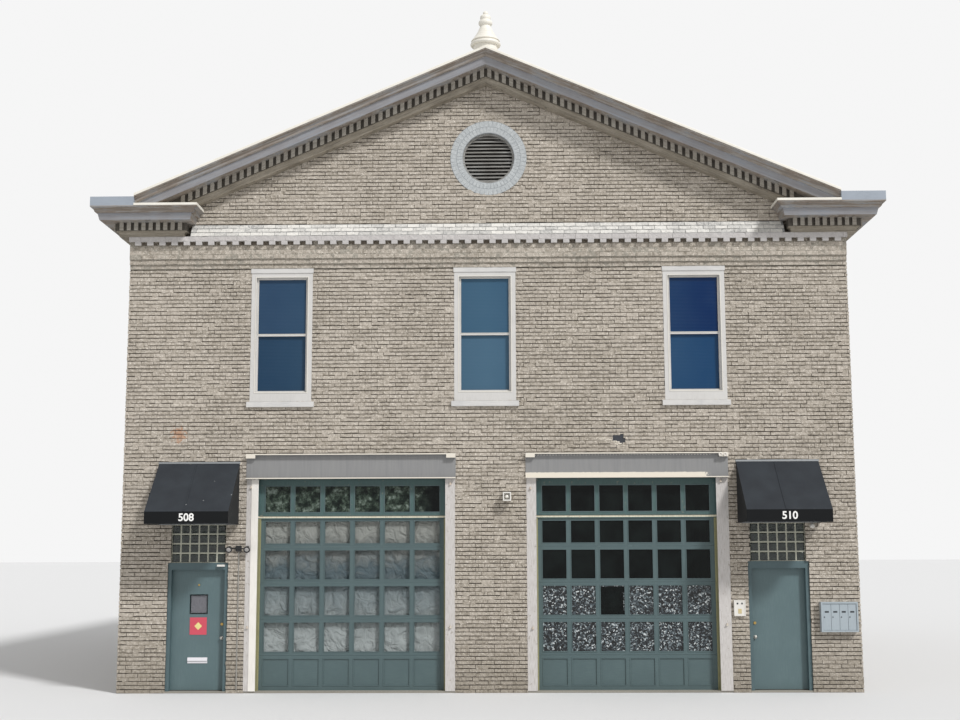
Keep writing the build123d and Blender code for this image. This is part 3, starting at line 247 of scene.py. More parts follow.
@dataclass(frozen=True)
class BrickPaint(Finish):
    """Thick matt masonry paint on rough brick, which gives a chalky, uneven face with pits and pale glints, which are
    painted highlights.
    """

    stops: Stops = ()
    # The pale glints' colour: a painted highlight.
    painted_glint: str = "#E4DDCF"
    grime: str = "#6B6355"
    grime_head: float = 1.3
    # Whether each brick has a tone of its own, and how much that counts.
    laid: bool = True
    own_share: float = 0.12
    # The colours of joints that paint fills, of what stands far out, and of one spot: bare brick where the paint is
    # gone, and in the joints the painted shade of the hole.
    filled: str = ""
    pale: str = ""
    pale_cover: float = 0.75
    pale_reach: float = 0.12
    bare: str = ""
    bare_spot: Point = (0.0, 0.0, 0.0)
    bare_reach: float = 0.3

    def lay(self, add: Adder, place: Socket) -> Socket:
        """Lay shades brick by brick, stains a metre wide, pits and painted highlight glints of 16 mm, and grime near
        the ground.

        Args:
            add: adds a node to the material.
            place: the object coordinates.

        Returns:
            The surface shader.
        """
        _, depth, height = add("SeparateXYZ", place).node.outputs
        stain = add("TexNoise", place, Scale=per_metre(1100), Detail=5.0)
        grit = add("TexNoise", place, Scale=per_metre(16), Detail=3.0, Roughness=0.7)
        lump = add("TexNoise", place, Scale=per_metre(48), Detail=3.0, Roughness=0.6)
        own = add("Attribute", attribute_name="tone", out="Fac") if self.laid else lump
        cloud = add("MapRange", stain, To_Min=0.35, To_Max=0.65)
        shade = add("Math", own, self.own_share, cloud, operation="MULTIPLY_ADD")
        shade = add("Math", lump, 0.8, shade, operation="MULTIPLY_ADD")
        colour = add("ValToRGB", add("MapRange", shade, From_Min=0.72, From_Max=1.24), stops=self.stops)
        if self.filled:
            runs = add("TexNoise", along_grain(add, place, Grain.COURSE), Scale=per_metre(110), Detail=2.0)
            colour = add("Mix", add("MapRange", runs, From_Min=0.5, From_Max=0.6, To_Max=0.9), colour, self.filled)
        # Pale glints on the grit: painted highlights, as of lit brick edges.
        glint_share = add("MapRange", grit, From_Min=0.58, From_Max=0.66, To_Max=0.85)
        pits = add("MapRange", grit, From_Min=0.36, From_Max=0.26, To_Max=0.6)
        low = add("MapRange", height, From_Min=self.grime_head, From_Max=0.0, To_Max=0.9)
        colour = add("Mix", glint_share, colour, self.painted_glint)
        colour = add("Mix", pits, colour, self.grime)
        colour = add("Mix", add("Math", low, stain, operation="MULTIPLY"), colour, self.grime)
        if self.pale:
            outward = add("Math", depth, FRONT - self.pale_reach, operation="LESS_THAN")
            colour = add("Mix", add("Math", outward, self.pale_cover, operation="MULTIPLY"), colour, self.pale)
        if self.bare:
            away = add("VectorMath", place, self.bare_spot, operation="DISTANCE", out="Value")
            ragged = add("Math", lump, 0.5, away, operation="MULTIPLY_ADD")
            near = add("MapRange", ragged, From_Min=self.bare_reach + 0.25, From_Max=self.bare_reach + 0.2)
            colour = add("Mix", near, colour, self.bare)
        rough = add("Bump", Strength=0.9, Distance=0.005, Height=grit)
        rough = add("Bump", Strength=0.9, Distance=0.012, Height=lump, Normal=rough)
        return add("BsdfPrincipled", colour, Roughness=0.88, Normal=rough)


@dataclass(frozen=True)
class StreakedWood(Finish):
    """Old painted pine, sun-bleached and peeling, which gives long streaks of grey paint and brown wood."""

    grain: Grain = Grain.LEVEL
    stops: Stops = ()
    streak: float = 26.0
    # A band of another tint: how far before the walls it lies, half its depth and its tint; on the dentils it is
    # painted gap shade.
    band: tuple[float, float, str] | None = None
    cover: float = 0.55

    def lay(self, add: Adder, place: Socket) -> Socket:
        """Lay streaks along the grain, broken by weather stains 420 mm wide, with fine cracks of 4 mm.

        Args:
            add: adds a node to the material.
            place: the object coordinates.

        Returns:
            The surface shader.
        """
        stretched = along_grain(add, place, self.grain)
        streaks = add("TexNoise", stretched, Scale=per_metre(self.streak), Detail=4.0, Roughness=0.65)
        cracks = add("TexNoise", stretched, Scale=per_metre(4), Detail=2.0)
        stains = add("TexNoise", place, Scale=per_metre(420), Detail=4.0)
        blend = add("Math", stains, 0.55, streaks, operation="MULTIPLY_ADD")
        colour = add("ValToRGB", add("MapRange", blend, From_Min=0.45, From_Max=1.08), stops=self.stops)
        colour = add("Mix", add("MapRange", cracks, From_Min=0.4, From_Max=0.3, To_Max=0.55), colour, "#3F382F")
        if self.band:
            middle, half, tint = self.band
            x, y, _ = add("SeparateXYZ", place).node.outputs
            outward = [add("Math", add("Math", axis, operation="ABSOLUTE"), face, operation="SUBTRACT")
                       for axis, face in ((x, HALF_WIDE), (y, HALF_DEEP))]
            within = add("Math", add("Math", *outward, operation="MAXIMUM"), middle, half, operation="COMPARE")
            colour = add("Mix", add("Math", within, self.cover, operation="MULTIPLY"), colour, tint)
        rough = add("Bump", Strength=0.55, Distance=0.003, Height=streaks)
        rough = add("Bump", Strength=0.4, Distance=0.0015, Height=cracks, Normal=rough)
        return add("BsdfPrincipled", colour, Roughness=0.8, Normal=rough)


@dataclass(frozen=True)
class BrushedPaint(Finish):
    """Oil paint brushed or rolled on wood, stone or metal, which gives faint brush marks, dirt and chips."""

    # The paint, its dirt and what shows where it is chipped.
    paint: str = "#FFFFFF"
    under: str = "#808080"
    bare: str = "#404040"
    grain: Grain = Grain.LEVEL
    worn: float = 0.3
    roughness: float = 0.5
    metallic: float = 0.0
    relief: float = 0.001

    def lay(self, add: Adder, place: Socket) -> Socket:
        """Lay brush marks of 9 mm along the grain, dirt 350 mm wide, and chips of 45 mm down to what lies under.

        Args:
            add: adds a node to the material.
            place: the object coordinates.

        Returns:
            The surface shader.
        """
        marks = add("TexNoise", along_grain(add, place, self.grain), Scale=per_metre(9), Detail=3.0)
        dirt = add("TexNoise", place, Scale=per_metre(350), Detail=5.0, Roughness=0.6)
        flakes = add("TexNoise", place, Scale=per_metre(45), Detail=5.0, Roughness=0.7)
        shade = add("MapRange", add("Math", marks, dirt, operation="MULTIPLY"), From_Min=0.2, From_Max=0.42,
                    To_Max=0.25 + self.worn * 0.6)
        edge = 0.78 - 0.16 * self.worn
        chips = add("MapRange", flakes, From_Min=edge, From_Max=edge + 0.02)
        colour = add("Mix", chips, add("Mix", shade, self.paint, self.under), self.bare)
        gloss = add("MapRange", dirt, To_Min=self.roughness - 0.08, To_Max=self.roughness + 0.15)
        rough = add("Bump", Strength=0.35, Distance=self.relief, Height=marks)
        rough = add("Bump", Strength=0.5, Distance=self.relief, Height=flakes, Normal=rough)
        return add("BsdfPrincipled", colour, Metallic=self.metallic, Roughness=gloss, Normal=rough)


@dataclass(frozen=True)
class JoineryPaint(Finish):
    """Garage frame paint: white jambs, olive stops and a slate green transom on one painted frame."""

    jamb: str = "#C9C5C2"
    stop: str = "#97956F"
    transom: str = "#46605F"
    bead: str = "#E6DFC9"

    def lay(self, add: Adder, place: Socket) -> Socket:
        """Lay each part's colour by its place, with upright brush marks of 8 mm and flaking of 60 mm.

        Args:
            add: adds a node to the material.
            place: the object coordinates.

        Returns:
            The surface shader.
        """
        x, _, z = add("SeparateXYZ", place).node.outputs
        within = [add("Math", x, (left + right) / 2, (right - left) / 2, operation="COMPARE")
                  for left, right in GARAGE_CLEAR]
        parts = add("ValToRGB", add("MapRange", z, From_Min=2.90, From_Max=3.02), interpolation="CONSTANT",
                    stops=((0.0, self.stop), (0.28, self.transom), (0.42, self.bead), (0.68, self.transom)))
        marks = add("TexNoise", along_grain(add, place, Grain.UPRIGHT), Scale=per_metre(8), Detail=3.0)
        flakes = add("TexNoise", place, Scale=per_metre(60), Detail=6.0, Roughness=0.7)
        dirt = add("MapRange", marks, From_Min=0.42, From_Max=0.75, To_Max=0.6)
        chips = add("MapRange", flakes, From_Min=0.63, From_Max=0.66, To_Max=0.7)
        colour = add("Mix", add("Math", *within, operation="MAXIMUM"), self.jamb, parts)
        colour = add("Mix", dirt, colour, "#B5ADA3", blend_type="MULTIPLY")
        colour = add("Mix", chips, colour, "#8C8274")
        rough = add("Bump", Strength=0.5, Distance=0.0015, Height=marks)
        rough = add("Bump", Strength=0.5, Distance=0.002, Height=flakes, Normal=rough)
        return add("BsdfPrincipled", colour, Roughness=0.55, Normal=rough)


@dataclass(frozen=True)
class ChannelPaint(Finish):
    """Paint on rolled steel channels: lilac-grey webs, with cream on the flanges' outer edges that is partly paint
    left there and partly a painted highlight.
    """

    web: Stops = ((0.25, "#7F7F80"), (0.5, "#858585"), (0.78, "#898988"))
    edge: str = "#DED7CA"
    band_head: float = 0.115

    def lay(self, add: Adder, place: Socket) -> Socket:
        """Lay the web's colour, the edges' colour past 50 mm from the wall and on a low band, and 35 mm flakes.

        Args:
            add: adds a node to the material.
            place: the object coordinates.

        Returns:
            The surface shader.
        """
        x, y, z = add("SeparateXYZ", place).node.outputs
        left, right = GARAGE_ROUGH[1]
        flakes = add("TexNoise", place, Scale=per_metre(35), Detail=5.0, Roughness=0.7)
        drips = add("TexNoise", along_grain(add, place, Grain.UPRIGHT), Scale=per_metre(30), Detail=4.0)
        along, reach, up = [add("Math", flakes, ragged, axis, operation="MULTIPLY_ADD")
                            for ragged, axis in ((0.45, x), (0.03, y), (0.04, z))]
        # The outer edges' cream: partly paint, partly a painted highlight of the lit flange edges.
        outer = add("MapRange", reach, From_Min=FRONT - 0.045, From_Max=FRONT - 0.055)
        low = add("Math", up, GARAGE_HEAD + self.band_head, operation="LESS_THAN")
        span = add("Math", along, (left + right) / 2 - 0.02, (right - left) / 2 - 0.11, operation="COMPARE")
        band = add("Math", low, span, operation="MULTIPLY")
        colour = add("Mix", add("Math", outer, band, operation="MAXIMUM"),
                     add("ValToRGB", drips, stops=self.web), self.edge)
        colour = add("Mix", add("MapRange", flakes, From_Min=0.66, From_Max=0.69, To_Max=0.8), colour, "#7D7268")
        rough = add("Bump", Strength=0.5, Distance=0.002, Height=flakes)
        return add("BsdfPrincipled", colour, Roughness=0.5, Normal=rough)


@dataclass(frozen=True)
class PaneGlass(Finish):
    """Drawn window glass with a painted reflection of the sky, which gives deep blue panes, paler low down, with fine
    level lines.
    """

    upper: Stops = ()
    lower: Stops = ()
    alpha: float = 0.97

    def lay(self, add: Adder, place: Socket) -> Socket:
        """Lay the painted sky reflection's tints from left to right, faint lines of 25 mm, and a paler lower sash.

        Args:
            add: adds a node to the material.
            place: the object coordinates.

        Returns:
            The surface shader.
        """
        x, _, z = add("SeparateXYZ", place).node.outputs
        across = add("MapRange", x, From_Min=-HALF_WIDE, From_Max=HALF_WIDE)
        down = add("MapRange", z, From_Min=UPPER_SILL + 1.24, From_Max=UPPER_SILL + 1.12)
        colour = add("Mix", down, *(add("ValToRGB", across, stops=stops) for stops in (self.upper, self.lower)))
        lines = add("TexWave", place, Scale=per_metre(25) * WAVE, bands_direction="Z", Distortion=0.6)
        cloud = add("TexNoise", place, Scale=per_metre(700), Detail=2.0)
        haze = add("Math", lines, cloud, operation="MULTIPLY")
        colour = add("Mix", add("MapRange", haze, From_Min=0.2, From_Max=0.7, To_Max=0.1), colour, "#7590A6")
        rough = add("Bump", Strength=0.05, Distance=0.004, Height=cloud)
        return add("BsdfPrincipled", colour, Roughness=0.06, IOR=1.52, Alpha=self.alpha, Specular_IOR_Level=0.15,
                   Normal=rough)


@dataclass(frozen=True)
class HallGlass(Finish):
    """Float glass before a dark hall, near black as painted shade of the hall: clear where cloth hangs behind it, with
    painted green reflections in the left transom.
    """

    stops: Stops = ()
    # The hall's near-black tints: painted shade.
    hall_shade: Stops = ((0.35, "#060909"), (0.65, "#111716"))
    clear: float = 0.17
    dark: float = 0.9
    reflection_span: tuple[float, float] = (-0.95, -1.35)

    def lay(self, add: Adder, place: Socket) -> Socket:
        """Lay near-black tints of painted hall shade, painted reflections as clouds of 120 mm in the left transom, and
        the two strengths of the glass.

        Args:
            add: adds a node to the material.
            place: the object coordinates.

        Returns:
            The surface shader.
        """
        x, _, z = add("SeparateXYZ", place).node.outputs
        left = add("Math", x, 0.0, operation="LESS_THAN")
        upper, under = [add("Math", z, TRANSOM_FOOT, operation=test) for test in ("GREATER_THAN", "LESS_THAN")]
        cloth = add("Math", left, under, operation="MULTIPLY")
        alpha = add("MapRange", cloth, To_Min=self.dark, To_Max=self.clear)
        # The clouds are painted reflections, faded out across the left transom.
        cloud = add("TexNoise", place, Scale=per_metre(120), Detail=5.0, Roughness=0.7)
        low = add("TexNoise", place, Scale=per_metre(260), Detail=3.0)
        reflection_fade = add("MapRange", x, From_Min=self.reflection_span[0], From_Max=self.reflection_span[1])
        colour = add("Mix", add("Math", upper, reflection_fade, operation="MULTIPLY"), add("ValToRGB", low, stops=self.hall_shade),
                     add("ValToRGB", cloud, stops=self.stops))
        return add("BsdfPrincipled", colour, Roughness=0.07, IOR=1.52, Alpha=alpha, Specular_IOR_Level=0.15)


@dataclass(frozen=True)
class MouldedGlass(Finish):
    """Pressed glass block, which gives dark wavy panes with pale green painted highlights in them."""

    stops: Stops = ()

    def lay(self, add: Adder, place: Socket) -> Socket:
        """Lay pressed waves of 45 mm, seen as both painted highlights and relief.

        Args:
            add: adds a node to the material.
            place: the object coordinates.

        Returns:
            The surface shader.
        """
        waves = add("TexNoise", place, Scale=per_metre(45), Detail=1.5, Distortion=1.6)
        rough = add("Bump", Strength=0.9, Distance=0.006, Height=waves)
        return add("BsdfPrincipled", add("ValToRGB", waves, stops=self.stops), Roughness=0.12, IOR=1.5,
                   Coat_Weight=0.2, Normal=rough)


@dataclass(frozen=True)
class WovenCanvas(Finish):
    """Woven acrylic awning canvas, which gives a dull charcoal cloth with a fine rib and specks of lint, painted near
    black as shade where it doesn't face up.
    """

    stops: Stops = ()
    shaded: str = "#0C0E10"
    specks: float = 0.035

    def lay(self, add: Adder, place: Socket) -> Socket:
        """Lay ribs both ways, drawn at 7 mm where real ones are 1 mm, with dust and specks 300 mm apart.

        Args:
            add: adds a node to the material.
            place: the object coordinates.

        Returns:
            The surface shader.
        """
        ribs = [add("TexWave", place, Scale=per_metre(7) * WAVE, bands_direction=way) for way in "XZ"]
        dust = add("TexNoise", place, Scale=per_metre(450), Detail=6.0)
        lint = add("TexVoronoi", place, Scale=per_metre(300))
        # Faces that don't face up take the shaded colour: painted shade.
        _, _, upward = add("SeparateXYZ", add("TexCoord", out="Normal")).node.outputs
        colour = add("Mix", add("MapRange", upward, From_Min=0.15, From_Max=0.45), self.shaded,
                     add("ValToRGB", dust, stops=self.stops))
        colour = add("Mix", add("MapRange", lint, From_Min=self.specks, From_Max=self.specks * 0.6), colour,
                     "#A9ABAB")
        rough = add("Bump", Strength=0.4, Distance=0.001, Height=add("Math", *ribs, operation="MULTIPLY"))
        rough = add("Bump", Strength=0.4, Distance=0.01, Height=dust, Normal=rough)
        return add("BsdfPrincipled", colour, Roughness=0.85, Sheen_Weight=0.03, Specular_IOR_Level=0.25,
                   Normal=rough)


@dataclass(frozen=True)
class PrintedFilm(Finish):
    """Speckled privacy film, which gives hard-edged black, grey and white flecks about 21 mm wide."""

    fleck: float = 21.0
    stops: Stops = ((0.0, "#080B0C"), (0.42, "#1D2327"), (0.6, "#414A4F"), (0.8, "#7A8488"), (0.93, "#BFC5C6"))

    def lay(self, add: Adder, place: Socket) -> Socket:
        """Lay the flecks as cells of one tone each, pushed about by up to 50 mm.

        Args:
            add: adds a node to the material.
            place: the object coordinates.

        Returns:
            The surface shader.
        """
        bent = add("TexNoise", place, Scale=per_metre(40), Detail=2.0, out="Color")
        moved = add("VectorMath", bent, (0.05, 0.05, 0.05), place, operation="MULTIPLY_ADD")
        own = add("SeparateColor", add("TexVoronoi", moved, Scale=per_metre(self.fleck), out="Color"))
        return add("BsdfPrincipled", add("ValToRGB", own, stops=self.stops, interpolation="CONSTANT"),
                   Roughness=0.35)


@dataclass(frozen=True)
class Drapery(Finish):
    """Cotton dust sheet, which gives soft folds with painted shade in them, pale low down, grey in the middle and
    paler along the top.
    """

    stops: Stops = ()

    def lay(self, add: Adder, place: Socket) -> Socket:
        """Lay the cloth's tint by height, creases of 170 mm as relief and as painted shade in the folds, and a weave
        drawn at 3 mm.

        Args:
            add: adds a node to the material.
            place: the object coordinates.

        Returns:
            The surface shader.
        """
        _, _, height = add("SeparateXYZ", place).node.outputs
        creases = add("TexNoise", place, Scale=per_metre(170), Detail=5.0, Distortion=0.8)
        weave = add("TexNoise", place, Scale=per_metre(3))
        # The creases also darken and lighten the tint: painted shade and highlight in the folds.
        shade = add("Math", creases, 0.22, add("MapRange", height, From_Max=3.0), operation="MULTIPLY_ADD")
        rough = add("Bump", Strength=0.3, Distance=0.001, Height=weave)
        rough = add("Bump", Strength=1.0, Distance=0.09, Height=creases, Normal=rough)
        return add("BsdfPrincipled", add("ValToRGB", shade, stops=self.stops), Roughness=0.9, Normal=rough)


@dataclass(frozen=True)
class DoorMetal(Finish):
    """Door furniture: a white letter plate low down, a steel knob over it, and brass higher up."""

    stops: Stops = ((0.0, "#DAD8DC"), (0.35, "#B4B1AA"), (0.52, "#B89A5C"))

    def lay(self, add: Adder, place: Socket) -> Socket:
        """Lay each metal by its height on the door, with handling marks of 12 mm.

        Args:
            add: adds a node to the material.
            place: the object coordinates.

        Returns:
            The surface shader.
        """
        _, _, height = add("SeparateXYZ", place).node.outputs
        colour = add("ValToRGB", add("MapRange", height, From_Max=2.0), stops=self.stops, interpolation="CONSTANT")
        marks = add("TexNoise", place, Scale=per_metre(12), Detail=4.0)
        return add("BsdfPrincipled", colour, Metallic=add("Math", height, 0.7, operation="GREATER_THAN"),
                   Roughness=add("MapRange", marks, To_Min=0.2, To_Max=0.5))


@dataclass(frozen=True)
class RollFelt(Finish):
    """Mineral roll roofing, which gives a grey gritty sheet, each roll in a shade of its own."""

    stops: Stops = ()
    own_share: float = 0.22

    def lay(self, add: Adder, place: Socket) -> Socket:
        """Lay mineral grit, drawn at 6 mm where real grit is 1.5 mm, and weather stains of 1.3 m.

        Args:
            add: adds a node to the material.
            place: the object coordinates.

        Returns:
            The surface shader.
        """
        grit = add("TexNoise", place, Scale=per_metre(6), Detail=2.0)
        stain = add("TexNoise", place, Scale=per_metre(1300), Detail=6.0, Roughness=0.65)
        blend = add("Math", stain, 0.6, grit, operation="MULTIPLY_ADD")
        blend = add("Math", add("NewGeometry", out="Random Per Island"), self.own_share, blend,
                    operation="MULTIPLY_ADD")
        shade = add("MapRange", blend, From_Min=0.4 + self.own_share / 2, From_Max=1.2 + self.own_share / 2)
        rough = add("Bump", Strength=0.6, Distance=0.002, Height=grit)
        return add("BsdfPrincipled", add("ValToRGB", shade, stops=self.stops), Roughness=0.92, Normal=rough)


# Sun-bleached matt masonry paint: chalky taupe that changes a little from brick to brick.
TAUPE_BRICK = BrickPaint("painted_brick_faces", ((0.0, "#7C7469"), (0.3, "#A0978A"), (0.5, "#ADA498"),
                                                  (0.75, "#BBB2A6"), (1.0, "#CDC5B9")), painted_glint="#F3ECE0",
                         pale="#C3C0C0", bare="#B08E76", bare_spot=(-5.37, FRONT, 4.39), bare_reach=0.13)
# The same paint in the raked joints: dark lines of painted shade, broken by stretches that paint fills.
TAUPE_JOINTS = BrickPaint("painted_brick_joints", ((0.0, "#221D18"), (0.5, "#352F28"), (1.0, "#4B443B")),
                          painted_glint="#7B7468", grime="#2E2A24", laid=False, filled="#877F73",
                          # The joints' bare spot is the hole over the right garage door, painted dark slate as the
                          # hole's shade.
                          bare="#3A3C41", bare_spot=(2.28, FRONT, 4.28), bare_reach=0.2)
# The same paint on the frieze's plain ledges and brick dentils: taupe, a little greyer.
TAUPE_FRIEZE = BrickPaint("painted_brick_frieze", ((0.0, "#807A70"), (0.5, "#989287"), (1.0, "#ABA599")),
                          laid=False, pale="#C3C0C0")
# Headers set back between the brick dentils: dark brown, as painted shade in the recess.
GAP_SHADE_BRICK = BrickPaint("gap_shade_brick_headers", ((0.0, "#544C43"), (0.5, "#6A6156"), (1.0, "#80776B")),
                          painted_glint="#8F8679", grime="#453F37")
# Whitewashed rough brick on the sloping ledge: chalk white with grey patches, darker in its joints.
WHITE_BRICK = BrickPaint("whitewashed_brick", ((0.0, "#999896"), (0.4, "#BBB9B5"), (1.0, "#DDDAD4")),
                         painted_glint="#F0EEE8", grime="#77746F", own_share=0.35)
WHITE_JOINTS = BrickPaint("whitewashed_joints", ((0.0, "#6A6A6B"), (0.5, "#868786"), (1.0, "#A5A6A4")),
                          painted_glint="#C9C9C5", grime="#57555A", laid=False, filled="#B4B5B3")
# Blue-grey masonry paint on the ring of bricks: smoother and cleaner than the wall's, darker in its joints.
RING_BRICK = BrickPaint("blue_grey_ring_brick", ((0.0, "#A0A4A6"), (0.5, "#B1B5B6"), (1.0, "#C3C6C6")),
                        painted_glint="#CDD1D4", grime="#7C828B")
RING_JOINTS = BrickPaint("blue_grey_ring_joints", ((0.0, "#8F9396"), (1.0, "#A4A8AA")), painted_glint="#B1B4B5",
                         grime="#5D636C", laid=False)
# Brick ends round the hole: chalk white.
BROKEN_BRICK = BrickPaint("broken_brick", ((0.0, "#BFB6A8"), (0.5, "#D9D1C3"), (1.0, "#E9E1D6")),
                          painted_glint="#F3EEE6", laid=False)
# Old painted pine along the eaves: level streaks of taupe, brown and blue-grey, and a blue-grey fascia.
WEATHERED = ((0.0, "#605B55"), (0.25, "#837D76"), (0.42, "#877B70"), (0.6, "#98938D"), (0.8, "#8C8E92"),
             (1.0, "#ACA9A4"))
BLUE_FASCIA = (0.468, 0.020, "#8B909A")
EAVES_WOOD = StreakedWood("weathered_pine_level", Grain.LEVEL, WEATHERED, band=BLUE_FASCIA)
# The same pine up the rakes: the streaks climb with the slope.
RAKE_WOOD = StreakedWood("weathered_pine_raking", Grain.RAKING, WEATHERED, band=BLUE_FASCIA)
# Bed mouldings under the dentils: the same pine, out of the weather and browner.
BED_PINE = ((0.0, "#6B6357"), (0.5, "#8E8678"), (1.0, "#A59D90"))
EAVES_BED = StreakedWood("sheltered_pine_level", Grain.LEVEL, BED_PINE)
RAKE_BED = StreakedWood("sheltered_pine_raking", Grain.RAKING, BED_PINE)
# The dentils, cut from the same pine: paler, because their paint held, and painted dark in the gaps behind them as
# their shade.
PALE_PINE = ((0.0, "#7E776D"), (0.4, "#989288"), (0.75, "#A8A399"), (1.0, "#B5B1A8"))
TOOTH_GAP_SHADE = (0.130, 0.118, "#3A342D")
EAVES_DENTILS = StreakedWood("pale_pine_dentils_level", Grain.LEVEL, PALE_PINE, band=TOOTH_GAP_SHADE, cover=0.8)
RAKE_DENTILS = StreakedWood("pale_pine_dentils_raking", Grain.RAKING, PALE_PINE, band=TOOTH_GAP_SHADE, cover=0.8)
# The louvre's pine slats: silver grey, with level streaks.
SLAT_WOOD = StreakedWood("weathered_pine_slats", Grain.LEVEL,
                         ((0.0, "#5A5651"), (0.4, "#85827D"), (0.7, "#9B9A96"), (1.0, "#B9BAB9")), 18.0)
# Plain pine boards over the joists: brown with level streaks.
DECK = StreakedWood("pine_deck_boards", Grain.LEVEL, ((0.0, "#5B4630"), (0.5, "#8A6E4C"), (1.0, "#A98C66")), 90.0)
# Gloss oil paint on the window casings: off-white with faint dirt.
CASING_PAINT = BrushedPaint("off_white_casing_paint", "#CBC9C6", "#B3B0AC", "#8B8074", Grain.UPRIGHT, 0.3, 0.45)
# Fresh cream bead paint: the brightest lines round the panes.
BEAD_PAINT = BrushedPaint("cream_bead_paint", "#DDD9D0", "#C6C1B5", "#A89F8E", Grain.UPRIGHT, 0.2, 0.4)
# Masonry paint on cast stone sills and head plates: matt white, chipped at the edges.
STONE_PAINT = BrushedPaint("white_stone_paint", "#CECCC9", "#A9AAAC", "#8E857A", Grain.LEVEL, 0.5, 0.7,
                           relief=0.002)
# Enamel on the steel entrance doors and their frames and on the wooden garage doors: slate green, pale scuffs.
DOOR_PAINT = BrushedPaint("slate_green_door_enamel", "#55696C", "#65797B", "#3B4C4C", Grain.UPRIGHT, 0.25, 0.42)
GARAGE_PAINT = BrushedPaint("slate_green_garage_paint", "#4B5D5F", "#596C6D", "#334243", Grain.LEVEL, 0.3, 0.45)
FRAME_PAINT = BrushedPaint("slate_green_frame_enamel", "#495D61", "#5B6E72", "#A3A79B", Grain.UPRIGHT, 0.3, 0.42)
# Painted sheet metal in the box gutters: light blue-grey with dirt at its seams.
GUTTER_PAINT = BrushedPaint("blue_grey_gutter_paint", "#98A0AA", "#7F868F", "#6A5648", Grain.LEVEL, 0.4, 0.5)
# Painted sheet metal caps: cream white, the brightest lines of the roof.
CAP_PAINT = BrushedPaint("cream_white_cap_paint", "#E8E4DA", "#C8C2B4", "#8B7A68", Grain.LEVEL, 0.35, 0.5)
# Zinc-coated steel, as pipes and as flashing: dull grey with a metal's soft light.
AWNING_PIPE = BrushedPaint("galvanised_awning_pipe", "#8F9294", "#76797B", "#5A5048", Grain.NONE, 0.3, 0.4, 0.7)
FLASHING = BrushedPaint("galvanised_flashing", "#8B8E90", "#75787A", "#6B625A", Grain.LEVEL, 0.3, 0.4, 0.5)
# Stoved enamel on the mailboxes: smooth pale grey. Their slots are near black as painted shade; the same dark enamel
# serves the locks and the intercom's eyes.
GREY_ENAMEL = BrushedPaint("pale_grey_enamel", "#A2ACB2", "#8C969D", "#6B6B68", Grain.UPRIGHT, 0.2, 0.35)
SLOT_SHADE_DARK_ENAMEL = BrushedPaint("slot_shade_dark_enamel", "#2E3338", "#3F454A", "#17191B", Grain.NONE, 0.2, 0.5)
# Moulded ABS: smooth white boxes, and buttons that the sun has yellowed.
WHITE_ABS = BrushedPaint("white_moulded_abs", "#DFDCD6", "#C6C2B9", "#A39D92", Grain.NONE, 0.1, 0.4)
YELLOWED_ABS = BrushedPaint("yellowed_abs", "#C9B98D", "#B3A379", "#8E8163", Grain.NONE, 0.2, 0.45)
# Powder-coated cast aluminium: black, with grey rubbed edges.
BLACK_CAST = BrushedPaint("black_cast_aluminium", "#1B1C1E", "#2C2E31", "#5A5A5A", Grain.NONE, 0.2, 0.4)
# Frosted and opal glass: pale, even and glossy.
LENS_GLASS = BrushedPaint("frosted_lamp_glass", "#A8A5A3", "#908E8C", "#D2D0CC", Grain.NONE, 0.2, 0.15)
BULB_GLASS = BrushedPaint("opal_bulb_glass", "#F2EFE8", "#DDD8CC", "#CFC9BC", Grain.NONE, 0.05, 0.12)
# Iron pins that rust through old cream paint: brown blotches.
RUSTED_IRON = BrushedPaint("rust_through_cream_paint", "#CFC8BB", "#B08A6C", "#6B4230", Grain.NONE, 0.9, 0.7)
# Steel conduit painted over with the wall: taupe, hardly seen.
CONDUIT_PAINT = BrushedPaint("taupe_conduit_paint", "#8F8C86", "#7A776F", "#5F5B55", Grain.UPRIGHT, 0.3, 0.5)
# Extruded rubber seals: dull olive.
OLIVE_STRIP = BrushedPaint("olive_rubber_strip", "#8F8B66", "#787453", "#5F5A40", Grain.UPRIGHT, 0.3, 0.6)
# Newer oil paint on the jamb board, rivets and eyes: bright white.
WHITE_STRIP = BrushedPaint("bright_jamb_paint", "#E9E5DE", "#D0CAC0", "#9F968A", Grain.UPRIGHT, 0.35, 0.45)
# Enamelled sheet metal of the door plate: flat red with a pale gold diamond.
PLAQUE_RED = BrushedPaint("red_door_plate", "#CC4D5E", "#B84555", "#8F3844", Grain.NONE, 0.1, 0.4)
PLAQUE_GOLD = BrushedPaint("pale_gold_diamond", "#E6D98F", "#CFC07A", "#8F8450", Grain.NONE, 0.1, 0.35)
# Old paper behind the door's pane: faded lilac-grey.
NOTICE_PAPER = BrushedPaint("curled_notice_paper", "#C9C3CB", "#B2ACB6", "#E6E2E4", Grain.NONE, 0.3, 0.8)
# Cut vinyl numbers: clean white.
NUMBER_VINYL = BrushedPaint("white_number_vinyl", "#F0EFEC", "#DCDAD6", "#B9B7B2", Grain.NONE, 0.1, 0.45)
# Cement mortar between glass blocks: pale grey-green, matt.
BLOCK_MORTAR = BrushedPaint("glass_block_mortar", "#BBBBAC", "#A5A596", "#C6C6B8", Grain.NONE, 0.3, 0.85)
# The garage frames' paints and the channels' paint, each by place.
JAMB_PAINT = JoineryPaint("garage_frame_paint")
LINTEL_PAINT = ChannelPaint("lilac_grey_channel_paint")
# Window glass whose tints are a painted reflection of the sky: lighter in the middle window, deepest in the right one.
WINDOW_GLASS = PaneGlass("drawn_window_glass", ((0.2, "#27415C"), (0.5, "#3A5B73"), (0.8, "#002653")),
                         ((0.2, "#1D3A54"), (0.5, "#446379"), (0.8, "#183F64")))
# The left door's small pane: clear and grey, with the notice behind it.
CLEAR_GREY = ((0.0, "#3A4444"), (1.0, "#3A4444"))
DOOR_GLASS = PaneGlass("clear_door_glass", CLEAR_GREY, CLEAR_GREY, 0.3)
